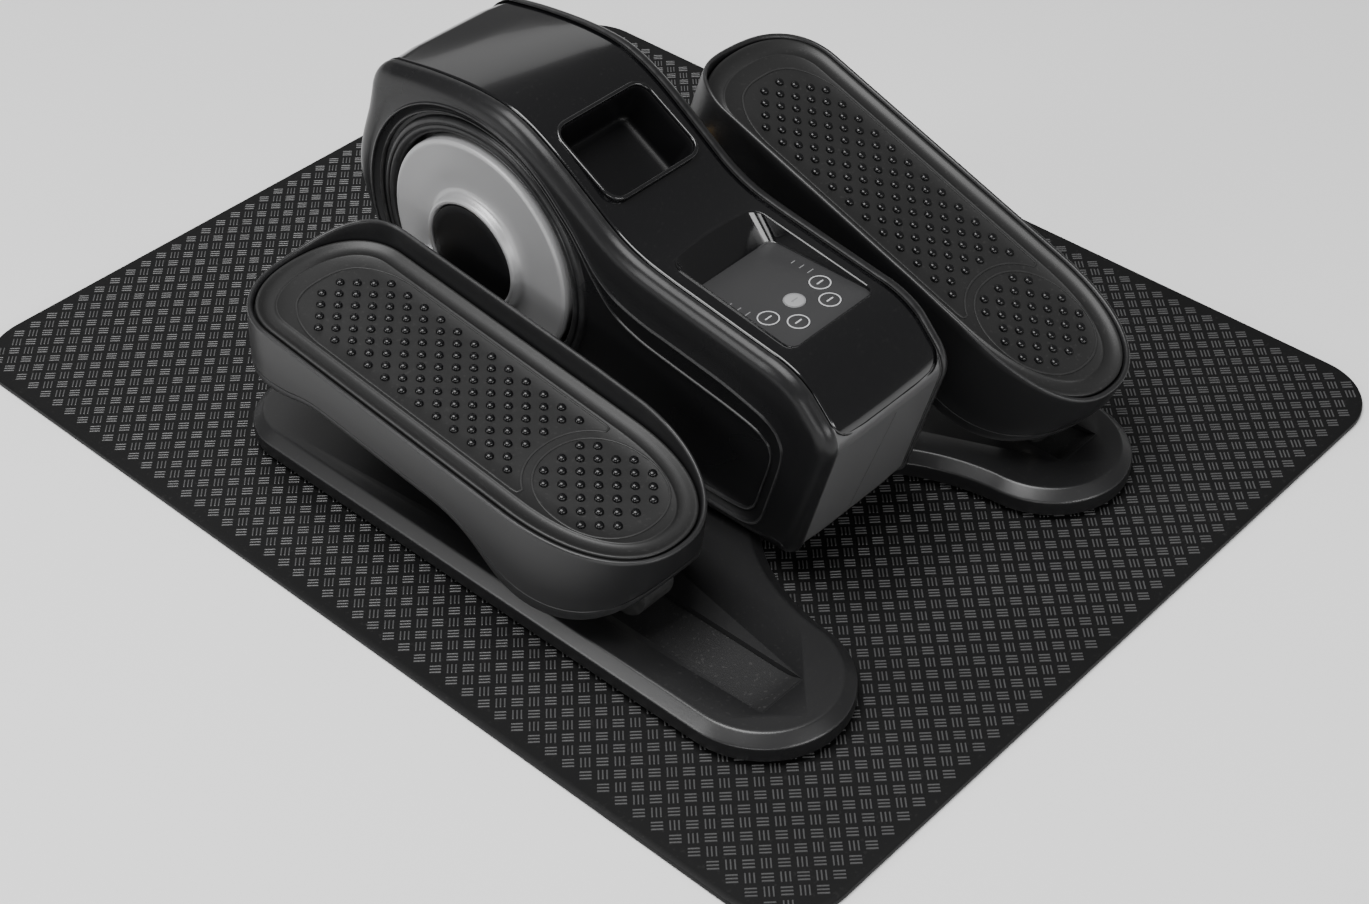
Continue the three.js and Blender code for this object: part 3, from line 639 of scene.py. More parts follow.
def dense(ring, across_steps=14):
    """A panel ring with its two cross edges parted, so that an arch has points to bend."""
    out = []
    for a, b in zip(ring, ring[1:] + ring[:1]):
        out.append(a)
        if abs(a[0] - b[0]) > 20:
            out += [tuple(p + (q - p) * k / across_steps for p, q in zip(a, b))
                    for k in range(1, across_steps)]
    return out


def arched(grow, lift=0.0, flat=None):
    """The panel's upper ring, its rear edge bowed back."""
    ring = dense(panel_ring(grow, lift, flat))
    half = PANEL["half"] + grow
    out = []
    for x, y, z in ring:
        if y > -50:
            bow = PANEL["arch"] * (1 - (x / half) ** 2) * smoothstep(-40, PANEL["wall_rear"], y)
            y = y + bow
            z = flat if flat is not None else cover_height(y) + lift
        out.append((x, y, z))
    return to_world(out)


def low_ring(grow, z):
    return to_world(dense(panel_ring(grow, flat=z, rear=PANEL["rear"])))


def build_cover():
    line = outline_part((216.5, 206), (-156.9, 120.0))
    verts, faces = band(line, 0.0, 3.0, 1.6, (9.0, 13.0))
    cover = new_object("gloss_cover", verts, faces, "gloss_black_plastic", "chassis",
                       replaces=("top_cover",))
    subtract(cover, "pocket_cut", *loft([pocket_ring(0.8, -25), pocket_ring(0.8, 25)]))
    subtract(cover, "panel_cut", *loft([arched(0.5, flat=120), arched(0.5, flat=200)]))
    shade(cover, 35)


def build_pocket():
    """The carry pocket: a bright bevelled rim, then smooth dark walls with a rounded floor."""
    depth = POCKET["depth"]
    rim = [pocket_ring(g, h) for g, h in ((1.2, -3.0), (2.9, -0.2), (2.8, 0.7), (2.2, 1.15), (1.2, 1.25),
                                          (0.6, 1.0),
                                          (0.2, 0.3), (0.0, -0.8), (0.1, -3.0))]
    verts, faces = closed_loft(rim)
    new_object("pocket_rim", verts, faces, "gloss_black_plastic", "chassis",
               smooth_angle=50)
    inner = [(-0.2, -1.2), (-0.6, -6), (-1.4, -14), (-2.4, 4 - depth), (-3.2, 1.6 - depth),
             (-5.0, 0.3 - depth),
             (-8.0, -depth)]
    outer = [(-5.0, -depth - 1.6), (-1.0, 4 - depth), (0.6, -14), (0.9, -1.2)]
    verts, faces = loft([pocket_ring(g, h) for g, h in outer + inner])
    new_object("carry_pocket", verts, faces, "pocket_black_plastic", "chassis",
               replaces=("handle_cup",), smooth_angle=50)


def build_front_and_rear():
    """The satin nose panel under the cover's tip, with its oblique parting line, and the rear panel."""
    nose = outline_part((-137, 146), (-121.0, 20.3))
    verts, faces = band(nose, 0.8, 2.6, 1.0, (0, 0))
    panel = new_object("nose_panel", verts, faces, "nose_plastic_painted_reflection", "chassis",
                       replaces=("front_panel",))
    subtract(panel, "parting_line", *parting_line())
    shade(panel, 35)
    rear = outline_part((196, 20.3), (213, 214))
    verts, faces = band(rear, 0.8, 2.6, 1.0, (0, 0))
    panel = new_object("rear_cover", verts, faces, "satin_black_plastic", "chassis",
                       replaces=("rear_panel",))
    bore = circle((0, INLET["z"]), INLET["radius"], 32)
    subtract(panel, "inlet_cut", *loft([to_world([(x, y, z) for x, z in bore]) for y in (190, 215)]))
    shade(panel, 35)


def parting_line():
    """A fine slanted slot in the nose panel's lower face."""
    (x0, y0, z0), (x1, y1, z1) = (7.0, -155.5, 108.0), (-5.5, -133.0, 27.0)
    out, width = (-0.963, -0.268), 0.35
    rings = []
    for x, y, z in ((x0, y0, z0), (x1, y1, z1)):
        rings.append(to_world([(x + a * width, y + out[0] * b, z + out[1] * b)
                               for a, b in ((-1, 3), (1, 3), (1, -1.7), (-1, -1.7))]))
    return loft(rings)


def build_panel():
    """Recess walls that taper away to the front, and the raised film face."""
    z = PANEL["z"]
    rings = [low_ring(1.2, z - 2.2), arched(0.4, -2.6), arched(0.4, -0.1), arched(0.25, 0.2),
             arched(-0.2, 0.25),
             arched(-0.5, 0.05), arched(-0.8, -0.7), low_ring(-0.2, z + 0.6), low_ring(-0.5, z - 0.1),
             low_ring(-1.4, z - 0.5), low_ring(-1.4, z - 2.2)]
    verts, faces = closed_loft(rings)
    new_object("panel_surround", verts, faces, "gloss_black_plastic", "chassis",
               smooth_angle=40)
    film = [low_ring(-0.9, z - 1.6), low_ring(-0.9, z - 0.3), low_ring(-1.1, z - 0.05),
            low_ring(-1.5, z + 0.04),
            low_ring(-3.0, z + 0.05)]
    verts, faces = loft(film)
    face = new_object("panel_film_face", verts, faces, "panel_film", "chassis",
                      replaces=("control_fascia",))
    for key in KEYS:
        subtract(face, "key_opening", *loft([level_circle(key, KEY_OPENING, z + rise) for rise in (-6, 6)]))
    shade(face, 30)


def flat_ring(center, outer, inner, z, height):
    """A thin raised ring lying level."""
    return closed_loft([level_circle(center, inner, z), level_circle(center, outer, z),
                        level_circle(center, outer, z + height), level_circle(center, inner, z + height)])


def flat_bar(cx, cy, half_x, half_y, z, height):
    """A small level bar with rounded ends."""
    outline = rounded_rect(half_x, half_y, min(half_x, half_y) * 0.9, 3)
    return loft([to_world([(cx + x, cy + y, level) for x, y in outline]) for level in (z, z + height)])


KEYS = ((-23, -82), (0, -82), (23, -82), (-14, -97), (14, -97))
KEY_OPENING = 7.0
FILLED_KEY = 2


def build_keys():
    """Five domed film keys: each has a printed ring and a plain bar mark, and one is filled."""
    z = PANEL["z"]
    for number, (x, y) in enumerate(KEYS, start=1):
        filled = number == FILLED_KEY
        dome = ((6.8, -2.8), (6.8, 0.1), (6.6, 0.25), (4.5, 0.4), (2.0, 0.5))
        verts, faces = loft([level_circle((x, y), radius, z + rise) for radius, rise in dome])
        new_object(f"key_cap_{number}", verts, faces, "printed_mid" if filled else "panel_film",
                   f"key_{number}", replaces=(f"key_{number}",))
        verts, faces = merge([flat_ring((x, y), 6.7, 5.9, z + 0.2, 0.16), flat_bar(x, y, 2.8, 0.5, z + 0.44,
                                                                                   0.1)])
        new_object(f"key_mark_{number}", verts, faces, "printed_grey" if filled else "printed_light",
                   f"key_{number}")


def build_marks():
    """Short ticks beside the display area, three on each side."""
    z = PANEL["z"] + 0.06
    ticks = [flat_bar(side * 28, -57 - 6.7 * row, 1.7 + 0.5 * row, 0.35, z, 0.08)
             for side in (-1, 1) for row in range(3)]
    verts, faces = merge(ticks)
    new_object("display_ticks", verts, faces, "printed_grey", "chassis")


# ---------------------------------------------------------------- cranks

def build_crank(side_name, side):
    """The satin disc with the collar raised on its face, and the black hub cap inside the collar."""
    disc = [(12, 48), (DISC_RADIUS - 1.2, 48), (DISC_RADIUS, 49.2), (DISC_RADIUS, 57.8), (DISC_RADIUS - 0.4,
                                                                                          59.1),
            (DISC_RADIUS - 1.4, 59.8), (DISC_RADIUS - 2.8, 60.0), (DISC_RADIUS - 4.2, 59.9), (60,
                                                                                              59.9), (50,
                                                                                                      60.0),
            (43.6, 60.05), (41.8, 60.3), (40.4, 60.9), (39.4, 61.9), (38.8, 63.4), (38.5, 65.2), (38.1, 66.3),
            (37.4, 66.9), (36.4, 67.1), (35.5, 66.9), (34.9, 66.3), (34.7, 65.4), (34.6, 60.0), (34.5,
                                                                                                 52.8), (12,
                                                                                                         52.7)]
    verts, faces = lathe(disc, side, DISC_CENTER)
    new_object(f"crank_face_{side_name}", verts, faces, "satin_grey_metal", "crank",
               replaces=(f"crank_disc_{side_name}",), smooth_angle=30)
    cap = [(10, 53.0), (33.6, 53.0), (34.0, 53.4), (34.0, 65.2), (33.6, 66.0), (32.6, 66.4), (28, 66.5),
           (12.0, 66.55),
           (4.0, 66.55)]
    verts, faces = lathe(cap, side, DISC_CENTER)
    new_object(f"hub_dome_{side_name}", verts, faces, "hub_black_plastic", "crank",
               replaces=(f"hub_cap_{side_name}",), smooth_angle=40)


# ---------------------------------------------------------------- pedals

PEDAL = {"length": 332.0, "inner": 85.0, "outer": 200.0, "heel": 90.0, "toe": 46.0}
PEDAL_MIDDLE = (PEDAL["inner"] + PEDAL["outer"]) / 2
CRANK_RADIUS = 58.0
CRANK_ANGLE = -29.0
PEDAL_AXLE = (38.0, -55.0)
PEDAL_PIN = (297.4, -27.0)
AXLE_HEIGHT = 38.5
ARC_STEPS, SIDE_STEPS = 60, 44


def pedal_frame(side):
    """Place and pitch of a pedal: the heel end of its rim, from the crank pin and the roller axle."""
    angle = math.radians(CRANK_ANGLE + (180 if side > 0 else 0))
    pin = (DISC_CENTER[0] + CRANK_RADIUS * math.cos(angle), DISC_CENTER[1] + CRANK_RADIUS * math.sin(angle))
    dy, dz = PEDAL_PIN[0] - PEDAL_AXLE[0], PEDAL_PIN[1] - PEDAL_AXLE[1]
    reach = math.hypot(dy, dz)
    lean = math.asin((pin[1] - AXLE_HEIGHT) / reach)
    pitch = lean - math.atan2(dz, dy)
    axle_y = pin[0] - reach * math.cos(lean)
    c, s = math.cos(pitch), math.sin(pitch)
    return (axle_y - PEDAL_AXLE[0] * c + PEDAL_AXLE[1] * s,
            AXLE_HEIGHT - PEDAL_AXLE[0] * s - PEDAL_AXLE[1] * c, pitch)


def pedal_to_world(points, side):
    """Points in the pedal's frame (across, along from the heel, up from the rim) to metres."""
    heel_y, heel_z, pitch = pedal_frame(side)
    c, s = math.cos(pitch), math.sin(pitch)
    return to_world([(side * x, heel_y + y * c - z * s, heel_z + y * s + z * c) for x, y, z in points])


def pedal_plan(margin):
    """The pedal's oval drawn inside its edge by a margin: toe arc, inner side, heel arc, outer side."""
    half = (PEDAL["outer"] - PEDAL["inner"]) / 2 - margin
    power = 2 / 2.25

    def bend(value):
        return math.copysign(abs(value) ** power, value)

    def arc(center, depth, start):
        return [(PEDAL_MIDDLE + half * bend(math.cos(start + math.pi * k / ARC_STEPS)),
                 center + depth * bend(math.sin(start + math.pi * k / ARC_STEPS))) for k in range(ARC_STEPS + 1)]

    def side_line(start, end):
        return [(start[0] + (end[0] - start[0]) * k / SIDE_STEPS,
                 start[1] + (end[1] - start[1]) * k / SIDE_STEPS)
                for k in range(1, SIDE_STEPS)]

    toe = arc(PEDAL["length"] - PEDAL["toe"], max(PEDAL["toe"] - margin, 4), 0.0)
    heel = arc(PEDAL["heel"], max(PEDAL["heel"] - margin, 4), math.pi)
    return toe + side_line(toe[-1], heel[0]) + heel + side_line(heel[-1], toe[0])


def guard_weights():
    """Height of the inner wall round the plan, 0 to 1: up at the toe, along the inside, down at the heel."""
    toe = [smoothstep(78, 162, 180 * k / ARC_STEPS) for k in range(ARC_STEPS + 1)]
    heel = [1 - smoothstep(-14, 78, 180 * k / ARC_STEPS) for k in range(ARC_STEPS + 1)]
    start = heel[0]
    inner = [1 + (start - 1) * smoothstep(0.8, 1.0, k / SIDE_STEPS) for k in range(1, SIDE_STEPS)]
    return toe + inner + heel + [0.0] * (SIDE_STEPS - 1)


GUARD_WEIGHTS = guard_weights()


def skirt_line():
    """Lower edge of the skirt: (along, height), shallow under the sole and deep at the heel."""
    line = cubic((-5, -6), (2, -34), (24, -60), (62, -61), 16)
    line += cubic((62, -61), (104, -61), (100, -35), (146, -34), 16)[1:]
    line += [(236, -34)]
    line += cubic((236, -34), (262, -34), (262, -44), (292, -45), 12)[1:]
    line += cubic((292, -45), (316, -45), (328, -34), (337, -18), 12)[1:]
    return np.array(line)


SKIRT = skirt_line()


def pedal_ring(margin, lift, share=1.0, raised=0.0):
    """A ring of the pedal: share 0 lies on the skirt's lower edge and 1 on the rim, then lift is added."""
    ring = []
    for (across, along), weight in zip(pedal_plan(margin), GUARD_WEIGHTS):
        low = float(np.interp(along, SKIRT[:, 0], SKIRT[:, 1]))
        ring.append((across, along, low * (1 - share) + lift + raised * weight))
    return ring


def build_pedal_body(side_name, side, sizes):
    """The tub of a pedal: hollow under, softly bellied skirt, parting line, thin lip and inner wall."""
    guard = sizes.guard_height / MM
    rings = [pedal_ring(4.2, -9.4), pedal_ring(3.4, 1.0, 0), pedal_ring(2.2, 0.0, 0), pedal_ring(1.3, 0.3, 0),
             pedal_ring(0.9, 1.2, 0)]
    rings += [pedal_ring(m, 0, s) for m, s in ((0.75, 0.08), (0.7, 0.13), (1.05, 0.137), (1.05, 0.145),
                                               (0.62, 0.152),
                                               (0.4, 0.3), (0.2, 0.5), (0.05, 0.7))]
    rings += [pedal_ring(0.0, -2.4), pedal_ring(0.0, -1.2, raised=guard * 0.5)]
    rings += [pedal_ring(m, lift, raised=guard * g) for m, lift, g in (
        (0.15, -0.8, 0.96), (0.5, -0.25, 0.99), (1.1, 0.05, 1), (1.8, 0.1, 1), (2.4, -0.1, 0.98), (2.9,
                                                                                                   -0.6, 0.9),
        (3.3, -1.2, 0.45), (3.7, -1.9, 0.06))]
    rings += [pedal_ring(3.9, -3.4), pedal_ring(4.1, -5.2), pedal_ring(6.0, -5.6), pedal_ring(12.0, -5.8)]
    verts, faces = loft([pedal_to_world(ring, side) for ring in rings])
    new_object(f"pedal_body_{side_name}", verts, faces, "pedal_black_plastic", f"{side_name}_pedal",
               replaces=(f"pedal_shell_{side_name}",), smooth_angle=38)


FIELD = -2.3  # the footbed's flat field, below the rim
HEEL_FIELD = (PEDAL_MIDDLE, 64.0, 36.0, 40.0)  # centre, then half width and half length


def heel_oval(grow, steps=96):
    """Outline of the heel field."""
    cx, cy, half_x, half_y = HEEL_FIELD
    return [(cx + (half_x + grow) * math.copysign(abs(math.cos(a)) ** 0.92, math.cos(a)),
             cy + (half_y + grow) * math.copysign(abs(math.sin(a)) ** 0.92, math.sin(a)))
            for a in (2 * math.pi * k / steps for k in range(steps))]


def forefoot_outline(grow):
    """Outline of the forefoot field: straight sides, a tapered toe, and a hollow round the heel field."""
    half, toe = 38.0 + grow, 303.0 + grow
    gap = 6.0 - grow
    hollow = [(x, y) for x, y in heel_oval(gap) if y > 92 and abs(x - PEDAL_MIDDLE) < half - 1.5]
    hollow = [(x - PEDAL_MIDDLE, y) for x, y in sorted(hollow, reverse=True)]
    left = [(-half, hollow[-1][1] + 4), (-half, 262)]
    left += quadratic((-half, 262), (-half + 1, 284), (-half * 0.62, 297 + grow), 8)[1:]
    left += quadratic((-half * 0.62, 297 + grow), (-half * 0.4, toe), (-half * 0.1, toe), 5)[1:]
    right = [(-x, y) for x, y in reversed(left)]
    line = left + right + [(half - 0.6, hollow[0][1] + 0.5)] + hollow + [(-half + 0.6, hollow[-1][1] + 0.5)]
    return [(PEDAL_MIDDLE + x, y) for x, y in resample(line, 300)]


def inside(point, outline):
    """Whether a point lies inside a closed outline."""
    x, y = point
    hit = False
    for (x0, y0), (x1, y1) in zip(outline, outline[1:] + outline[:1]):
        if (y0 > y) != (y1 > y) and x < (x1 - x0) * (y - y0) / (y1 - y0) + x0:
            hit = not hit
    return hit


def bead(outline, width, height, base):
    """Rings of a fine raised line along a closed outline, with a rounded top."""
    line = np.array(outline)
    normals = left_normals(line, 1)
    section = ((-width, -0.3), (-width * 0.75, height * 0.7), (0, height), (width * 0.75, height * 0.7),
               (width, -0.3))
    return [[(x, y, base + h) for x, y in line + normals * offset] for offset, h in section]


def stud(center, radius, base):
    """Rings of a small smooth stud."""
    return [[(x, y, base + radius * level) for x, y in circle(center, radius * share, 12)]
            for share, level in ((1.0, 0.0), (0.97, 0.35), (0.82, 0.62), (0.55, 0.8), (0.22, 0.88))]


def build_footbed(side_name, side, sizes):
    """The rubber bed: a broad hollow border, fine grooves, two outlined fields, and their studs."""
    bed = [(7.0, -5.4), (4.9, -5.2), (4.7, -1.6), (4.9, -0.9), (5.5, -0.5), (6.3, -0.5), (7.2, -0.9),
           (8.6, -1.8),
           (10.2, -2.5), (12.0, -2.9), (13.8, -3.0), (15.4, -2.8), (16.2, -2.5), (16.6, -2.1), (17.1, -1.9),
           (17.6, -2.0), (18.2, FIELD), (30.0, FIELD)]
    verts, faces = loft([pedal_to_world(pedal_ring(margin, level), side) for margin, level in bed])
    parts = [(verts, faces)]
    for outline in (heel_oval(0), forefoot_outline(0)):
        rings = [pedal_to_world(ring, side) for ring in bead(outline, 0.75, 0.75, FIELD)]
        parts.append(closed_loft(rings))
    verts, faces = merge(parts)
    new_object(f"footbed_pad_{side_name}", verts, faces, "footbed_rubber", f"{side_name}_pedal",
               replaces=(f"footbed_{side_name}",), smooth_angle=48)
    radius, step = sizes.stud_radius / MM, sizes.stud_pitch / MM / math.sqrt(2)
    fields = (heel_oval(-4.8), forefoot_outline(-7.0))
    studs = []
    for i in range(-4, 5):
        for j in range(0, 44):
            center = (PEDAL_MIDDLE + i * step, 7.5 + j * step)
            if (i + j) % 2 == 0 and any(inside(center, field) for field in fields):
                rings = stud(center, radius, FIELD - 0.1)
                studs.append(loft([pedal_to_world(ring, side) for ring in rings]))
    verts, faces = merge(studs)
    new_object(f"grip_studs_{side_name}", verts, faces, "stud_rubber", f"{side_name}_pedal",
               smooth_angle=60)


# ---------------------------------------------------------------- base and mat

def base_outline():
    """Plan of the base: two long lobes joined at the rear, their inner edges swept in under the housing."""
    line = [(0, -96), (44, -96)]
    line += cubic((44, -96), (56, -108), (76, -134), (81, -175), 20)[1:]
    line += [(135.5 + 54.5 * math.cos(a), -175 + 57 * math.sin(a))
             for a in (math.pi + math.pi * k / 40 for k in range(1, 41))]
    line += [(146 + 44 * math.cos(a), 188 + 44 * math.sin(a)) for a in (math.pi / 2 * k / 16
                                                                        for k in range(17))]
    mirrored = [(-x, y) for x, y in reversed(line[1:])]
    return resample(line + mirrored, 480)


def build_base():
    """The base with its wall, chamfer and softened edges, and a scooped track in each lobe."""
    outline = base_outline()
    inward = left_normals(outline)
    sections = ((12, 3.0), (2.4, 3.0), (0.6, 3.6), (0.0, 5.0), (0.0, 12.6), (0.0, 13.3), (0.12, 13.8),
                (0.45, 14.3),
                (1.0, 14.8), (6.1, 19.2), (6.6, 19.6), (7.1, 19.85), (7.7, 20.0), (8.8, 20.0), (12.0, 20.0))
    rings = [to_world([(x, y, z) for x, y in outline + inward * inset]) for inset, z in sections]
    verts, faces = loft(rings)
    base = new_object("lobed_base", verts, faces, "satin_black_plastic", "chassis",
                      replaces=("base_plate",))
    for side_name, side in SIDES.items():
        subtract(base, "track_cut", *track(side * TRACK_MIDDLE, TRACK_CUT_TOP, 0.0))
        verts, faces = track(side * TRACK_MIDDLE, None, LINING)
        new_object(f"track_floor_{side_name}", verts, faces, "track_grain", "chassis",
                   smooth_angle=30)
    shade(base, 32)


TRACK_ENDS = ((-199, 20.4), (-196.5, 19.2), (-193, 17.5), (-188.5, 16.2), (-182, 15.6), (-174, 15.55),
              (-65, 15.55), (-57, 16.0), (-51, 16.9), (-46, 18.4), (-42, 20.4))
TRACK_MIDDLE = 142.5
TRACK_HALF = 17.5
TRACK_CUT_TOP = 26.0  # well above the base's top
LINING = 0.25


def track(center, top, rise):
    """The roller's scooped track: a cutter up to a height, or a thin grained lining when there is none."""
    rings = []
    for y, floor in TRACK_ENDS:
        lift = min(floor, 19.9) + rise if top is None else floor
        upper = lift - 0.9 if top is None else top
        half = TRACK_HALF - 0.2 if top is None else TRACK_HALF
        rings.append(to_world([(center - half, y, upper), (center - half, y, lift), (center + half, y, lift),
                               (center + half, y, upper)]))
    return loft(rings)


MAT = {"x0": -258.0, "x1": 345.0, "y0": -303.0, "y1": 430.0, "corner": 45.0}
MAT_CENTER = ((MAT["x1"] + MAT["x0"]) / 2, (MAT["y1"] + MAT["y0"]) / 2)
SHEET_TOP = -0.6  # the mat's face between its bars, below the bars' tops


def mat_sheet():
    """The mat's own body, with a rounded upper edge."""
    half_x, half_y = (MAT["x1"] - MAT["x0"]) / 2, (MAT["y1"] - MAT["y0"]) / 2
    rings = []
    for grow, z in ((-3, -4.0), (-0.3, -4.0), (0, -3.7), (0, SHEET_TOP - 0.9), (-0.25, SHEET_TOP - 0.3),
                    (-0.9, SHEET_TOP), (-4, SHEET_TOP)):
        outline = rounded_rect(half_x + grow, half_y + grow, MAT["corner"] + grow, 20)
        rings.append(to_world([(MAT_CENTER[0] + x, MAT_CENTER[1] + y, z) for x, y in outline]))
    return loft(rings)


def tread_bar(cx, cy, along, half_length, half_width):
    """One low bar of the mat's tread, a closed block with sloping sides."""
    ux, uy = along
    vx, vy = -uy, ux
    verts = []
    for level, shrink in ((SHEET_TOP - 0.1, 0.0), (-0.12, 0.14), (0.0, 0.32)):
        for a, b in ((-1, -1), (1, -1), (1, 1), (-1, 1)):
            u, v = a * (half_length - shrink), b * (half_width - shrink)
            verts.append((cx + ux * u + vx * v, cy + uy * u + vy * v, level))
    faces = [(3, 2, 1, 0), (8, 9, 10, 11)]
    faces += [(row + k, row + (k + 1) % 4, row + 4 + (k + 1) % 4, row + 4 + k) for row in (0, 4)
              for k in range(4)]
    return to_world(verts), faces


def in_mat(x, y, margin):
    """Whether a point lies on the mat, a margin inside its edge."""
    corner = MAT["corner"]
    dx = max(MAT["x0"] + corner - x, x - (MAT["x1"] - corner), 0)
    dy = max(MAT["y0"] + corner - y, y - (MAT["y1"] - corner), 0)
    return math.hypot(dx, dy) < corner - margin


def build_mat(sizes):
    """A thin rubber mat, and its tread: a diagonal lattice of cells, each of three bars, turned by turns."""
    verts, faces = mat_sheet()
    new_object("mat_sheet", verts, faces, "sheet_rubber", "chassis", replaces=("floor_mat",),
               smooth_angle=30)
    cell = sizes.tread_cell / MM
    diagonal = math.sqrt(0.5)
    directions = ((diagonal, diagonal), (-diagonal, diagonal))
    reach = int(0.75 * math.hypot(MAT["x1"] - MAT["x0"], MAT["y1"] - MAT["y0"]) / cell)
    parts = []
    for i in range(-reach, reach + 1):
        for j in range(-reach, reach + 1):
            x = MAT_CENTER[0] + (i - j) * cell * diagonal
            y = MAT_CENTER[1] + (i + j) * cell * diagonal
            if not in_mat(x, y, 6.0):
                continue
            along, across = directions[(i + j) % 2], directions[(i + j + 1) % 2]
            for k in (-1, 0, 1):
                shift = k * cell * 0.25
                parts.append(tread_bar(x + across[0] * shift, y + across[1] * shift, along, cell * 0.36,
                                       cell * 0.055))
    verts, faces = merge(parts)
    # The bars take a lighter finish than the sheet, a painted glint on the same rubber.
    new_object("mat_tread", verts, faces, "tread_rubber_painted_glint", "chassis", smooth_angle=20)


# ---------------------------------------------------------------- carried-over pieces

CARRIED = {
    "soft_black_rubber": ("foot_front_left", "foot_rear_left", "foot_front_right", "foot_rear_right",
                          "drive_belt",
                          "roller_tyre_left", "roller_tyre_right"),
    "black_steel": ("frame_plate_left", "frame_plate_right", "motor_can", "roller_bracket_left",
                    "roller_bracket_right"),
    "bright_steel": ("shaft_bearing_left", "shaft_bearing_right", "crank_shaft", "motor_gearbox",
                     "motor_pulley",
                     "idler_pin", "sensor_magnet", "crank_pin_left", "crank_pin_right", "stub_axle_left",
                     "stub_axle_right", "roller_axle_left", "roller_axle_right"),
    "pale_nylon": ("drive_pulley", "idler_wheel", "roller_hub_left", "roller_hub_right"),
    "bearing_bronze": ("pivot_bush_left", "pivot_bush_right"),
    "green_board": ("key_board", "driver_board", "speed_sensor"),
    "pedal_black_plastic": ("pivot_block_left", "pivot_block_right", "power_inlet"),
}


def finish_carried():
    """Gives each working piece its real finish."""
    for finish_name, nodes in CARRIED.items():
        for node in nodes:
            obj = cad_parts[node]
            obj.data.materials.clear()
            obj.data.materials.append(finish(finish_name))


# ---------------------------------------------------------------- stage

CAMERA = {"azimuth": -47.064, "elevation": 40.662, "roll": -0.709, "lens": 61.81, "distance": 1.503,
          "shift_right": 0.00451, "shift_down": -0.00455}


def build_camera():
    azimuth, elevation = math.radians(CAMERA["azimuth"]), math.radians(CAMERA["elevation"])
    back = Vector((math.sin(azimuth) * math.cos(elevation), -math.cos(azimuth) * math.cos(elevation),
                   math.sin(elevation)))
    right = (-back).cross(Vector((0, 0, 1))).normalized()
    up = right.cross(-back)
    turn = math.radians(CAMERA["roll"])
    right, up = right * math.cos(turn) + up * math.sin(turn), up * math.cos(turn) - right * math.sin(turn)
    place = back * CAMERA["distance"] - right * CAMERA["shift_right"] + up * CAMERA["shift_down"]
    data = bpy.data.cameras.new("studio_camera")
    data.lens = CAMERA["lens"]
    data.sensor_width = 36
    camera = bpy.data.objects.new("studio_camera", data)
    bpy.context.scene.collection.objects.link(camera)
    camera.matrix_world = Matrix((
        (right.x, up.x, back.x, place.x), (right.y, up.y, back.y, place.y),
        (right.z, up.z, back.z, place.z + MAT_TOP * MM), (0, 0, 0, 1)))
    bpy.context.scene.camera = camera


def area_light(name, place, target, size, size_y, power):
    data = bpy.data.lights.new(name, "AREA")
    data.shape = "RECTANGLE"
    data.size, data.size_y = size, size_y
    data.energy = power
    light = bpy.data.objects.new(name, data)
    light.location = place
    light.rotation_euler = (Vector(target) - Vector(place)).to_track_quat("-Z", "Y").to_euler()
    bpy.context.scene.collection.objects.link(light)


def build_stage(sizes):
    mesh = bpy.data.meshes.new("studio_floor")
    reach, level = 6.0, -0.0005
    mesh.from_pydata([(-reach, -reach, level), (reach, -reach, level), (reach, reach, level),
                      (-reach, reach, level)],
                     [], [(0, 1, 2, 3)])
    floor = bpy.data.objects.new("studio_floor", mesh)
    bpy.context.scene.collection.objects.link(floor)
    paint = bpy.data.materials.new("pale_floor")
    paint.use_nodes = True
    paint.node_tree.nodes["Principled BSDF"].inputs["Base Color"].default_value = (0.86, 0.86, 0.86, 1)
    paint.node_tree.nodes["Principled BSDF"].inputs["Roughness"].default_value = 0.8
    mesh.materials.append(paint)
    world = bpy.data.worlds.new("studio_air")
    world.use_nodes = True
    world.node_tree.nodes["Background"].inputs["Color"].default_value = (1, 1, 1, 1)
    world.node_tree.nodes["Background"].inputs["Strength"].default_value = sizes.air_light
    bpy.context.scene.world = world
    aim = (0, 0, 0.1)
    area_light("overhead_softbox", (-0.5, 0.1, 2.3), aim, 1.5, 1.5, 78)
    area_light("rear_softbox", (1.2, 2.2, 1.5), (0, 0.1, 0.2), 2.2, 0.8, 5)
    area_light("left_softbox", (-2.2, 1.0, 1.1), aim, 0.5, 1.4, 24)
    area_light("front_fill", (-0.2, -2.3, 0.9), aim, 1.6, 0.5, 26)
    area_light("side_fill", (-2.1, -1.3, 0.5), aim, 1.4, 0.4, 12)


# ---------------------------------------------------------------- add-on

class ExerciserSizes(bpy.types.PropertyGroup):
    """Sizes and light of the exerciser"""
    stud_radius: bpy.props.FloatProperty(
        name="Stud Radius", description="Radius of each stud on the footbeds",
        default=2.85 * MM, min=0.0005, unit="LENGTH", precision=4)
    stud_pitch: bpy.props.FloatProperty(
        name="Stud Pitch", description="Distance between neighbouring studs in a diagonal row",
        default=10.35 * MM, min=0.004, unit="LENGTH", precision=4)
    guard_height: bpy.props.FloatProperty(
        name="Guard Height", description="Height of the pedal's inner wall above its rim",
        default=14.5 * MM, min=0.0, unit="LENGTH", precision=4)
    tread_cell: bpy.props.FloatProperty(
        name="Tread Cell", description="Size of one cell of three bars on the mat",
        default=9.5 * MM, min=0.004, unit="LENGTH", precision=4)
    air_light: bpy.props.FloatProperty(
        name="Air Light", description="Strength of the even light from all round",
        default=0.22, min=0.0, subtype="FACTOR", max=3.0)


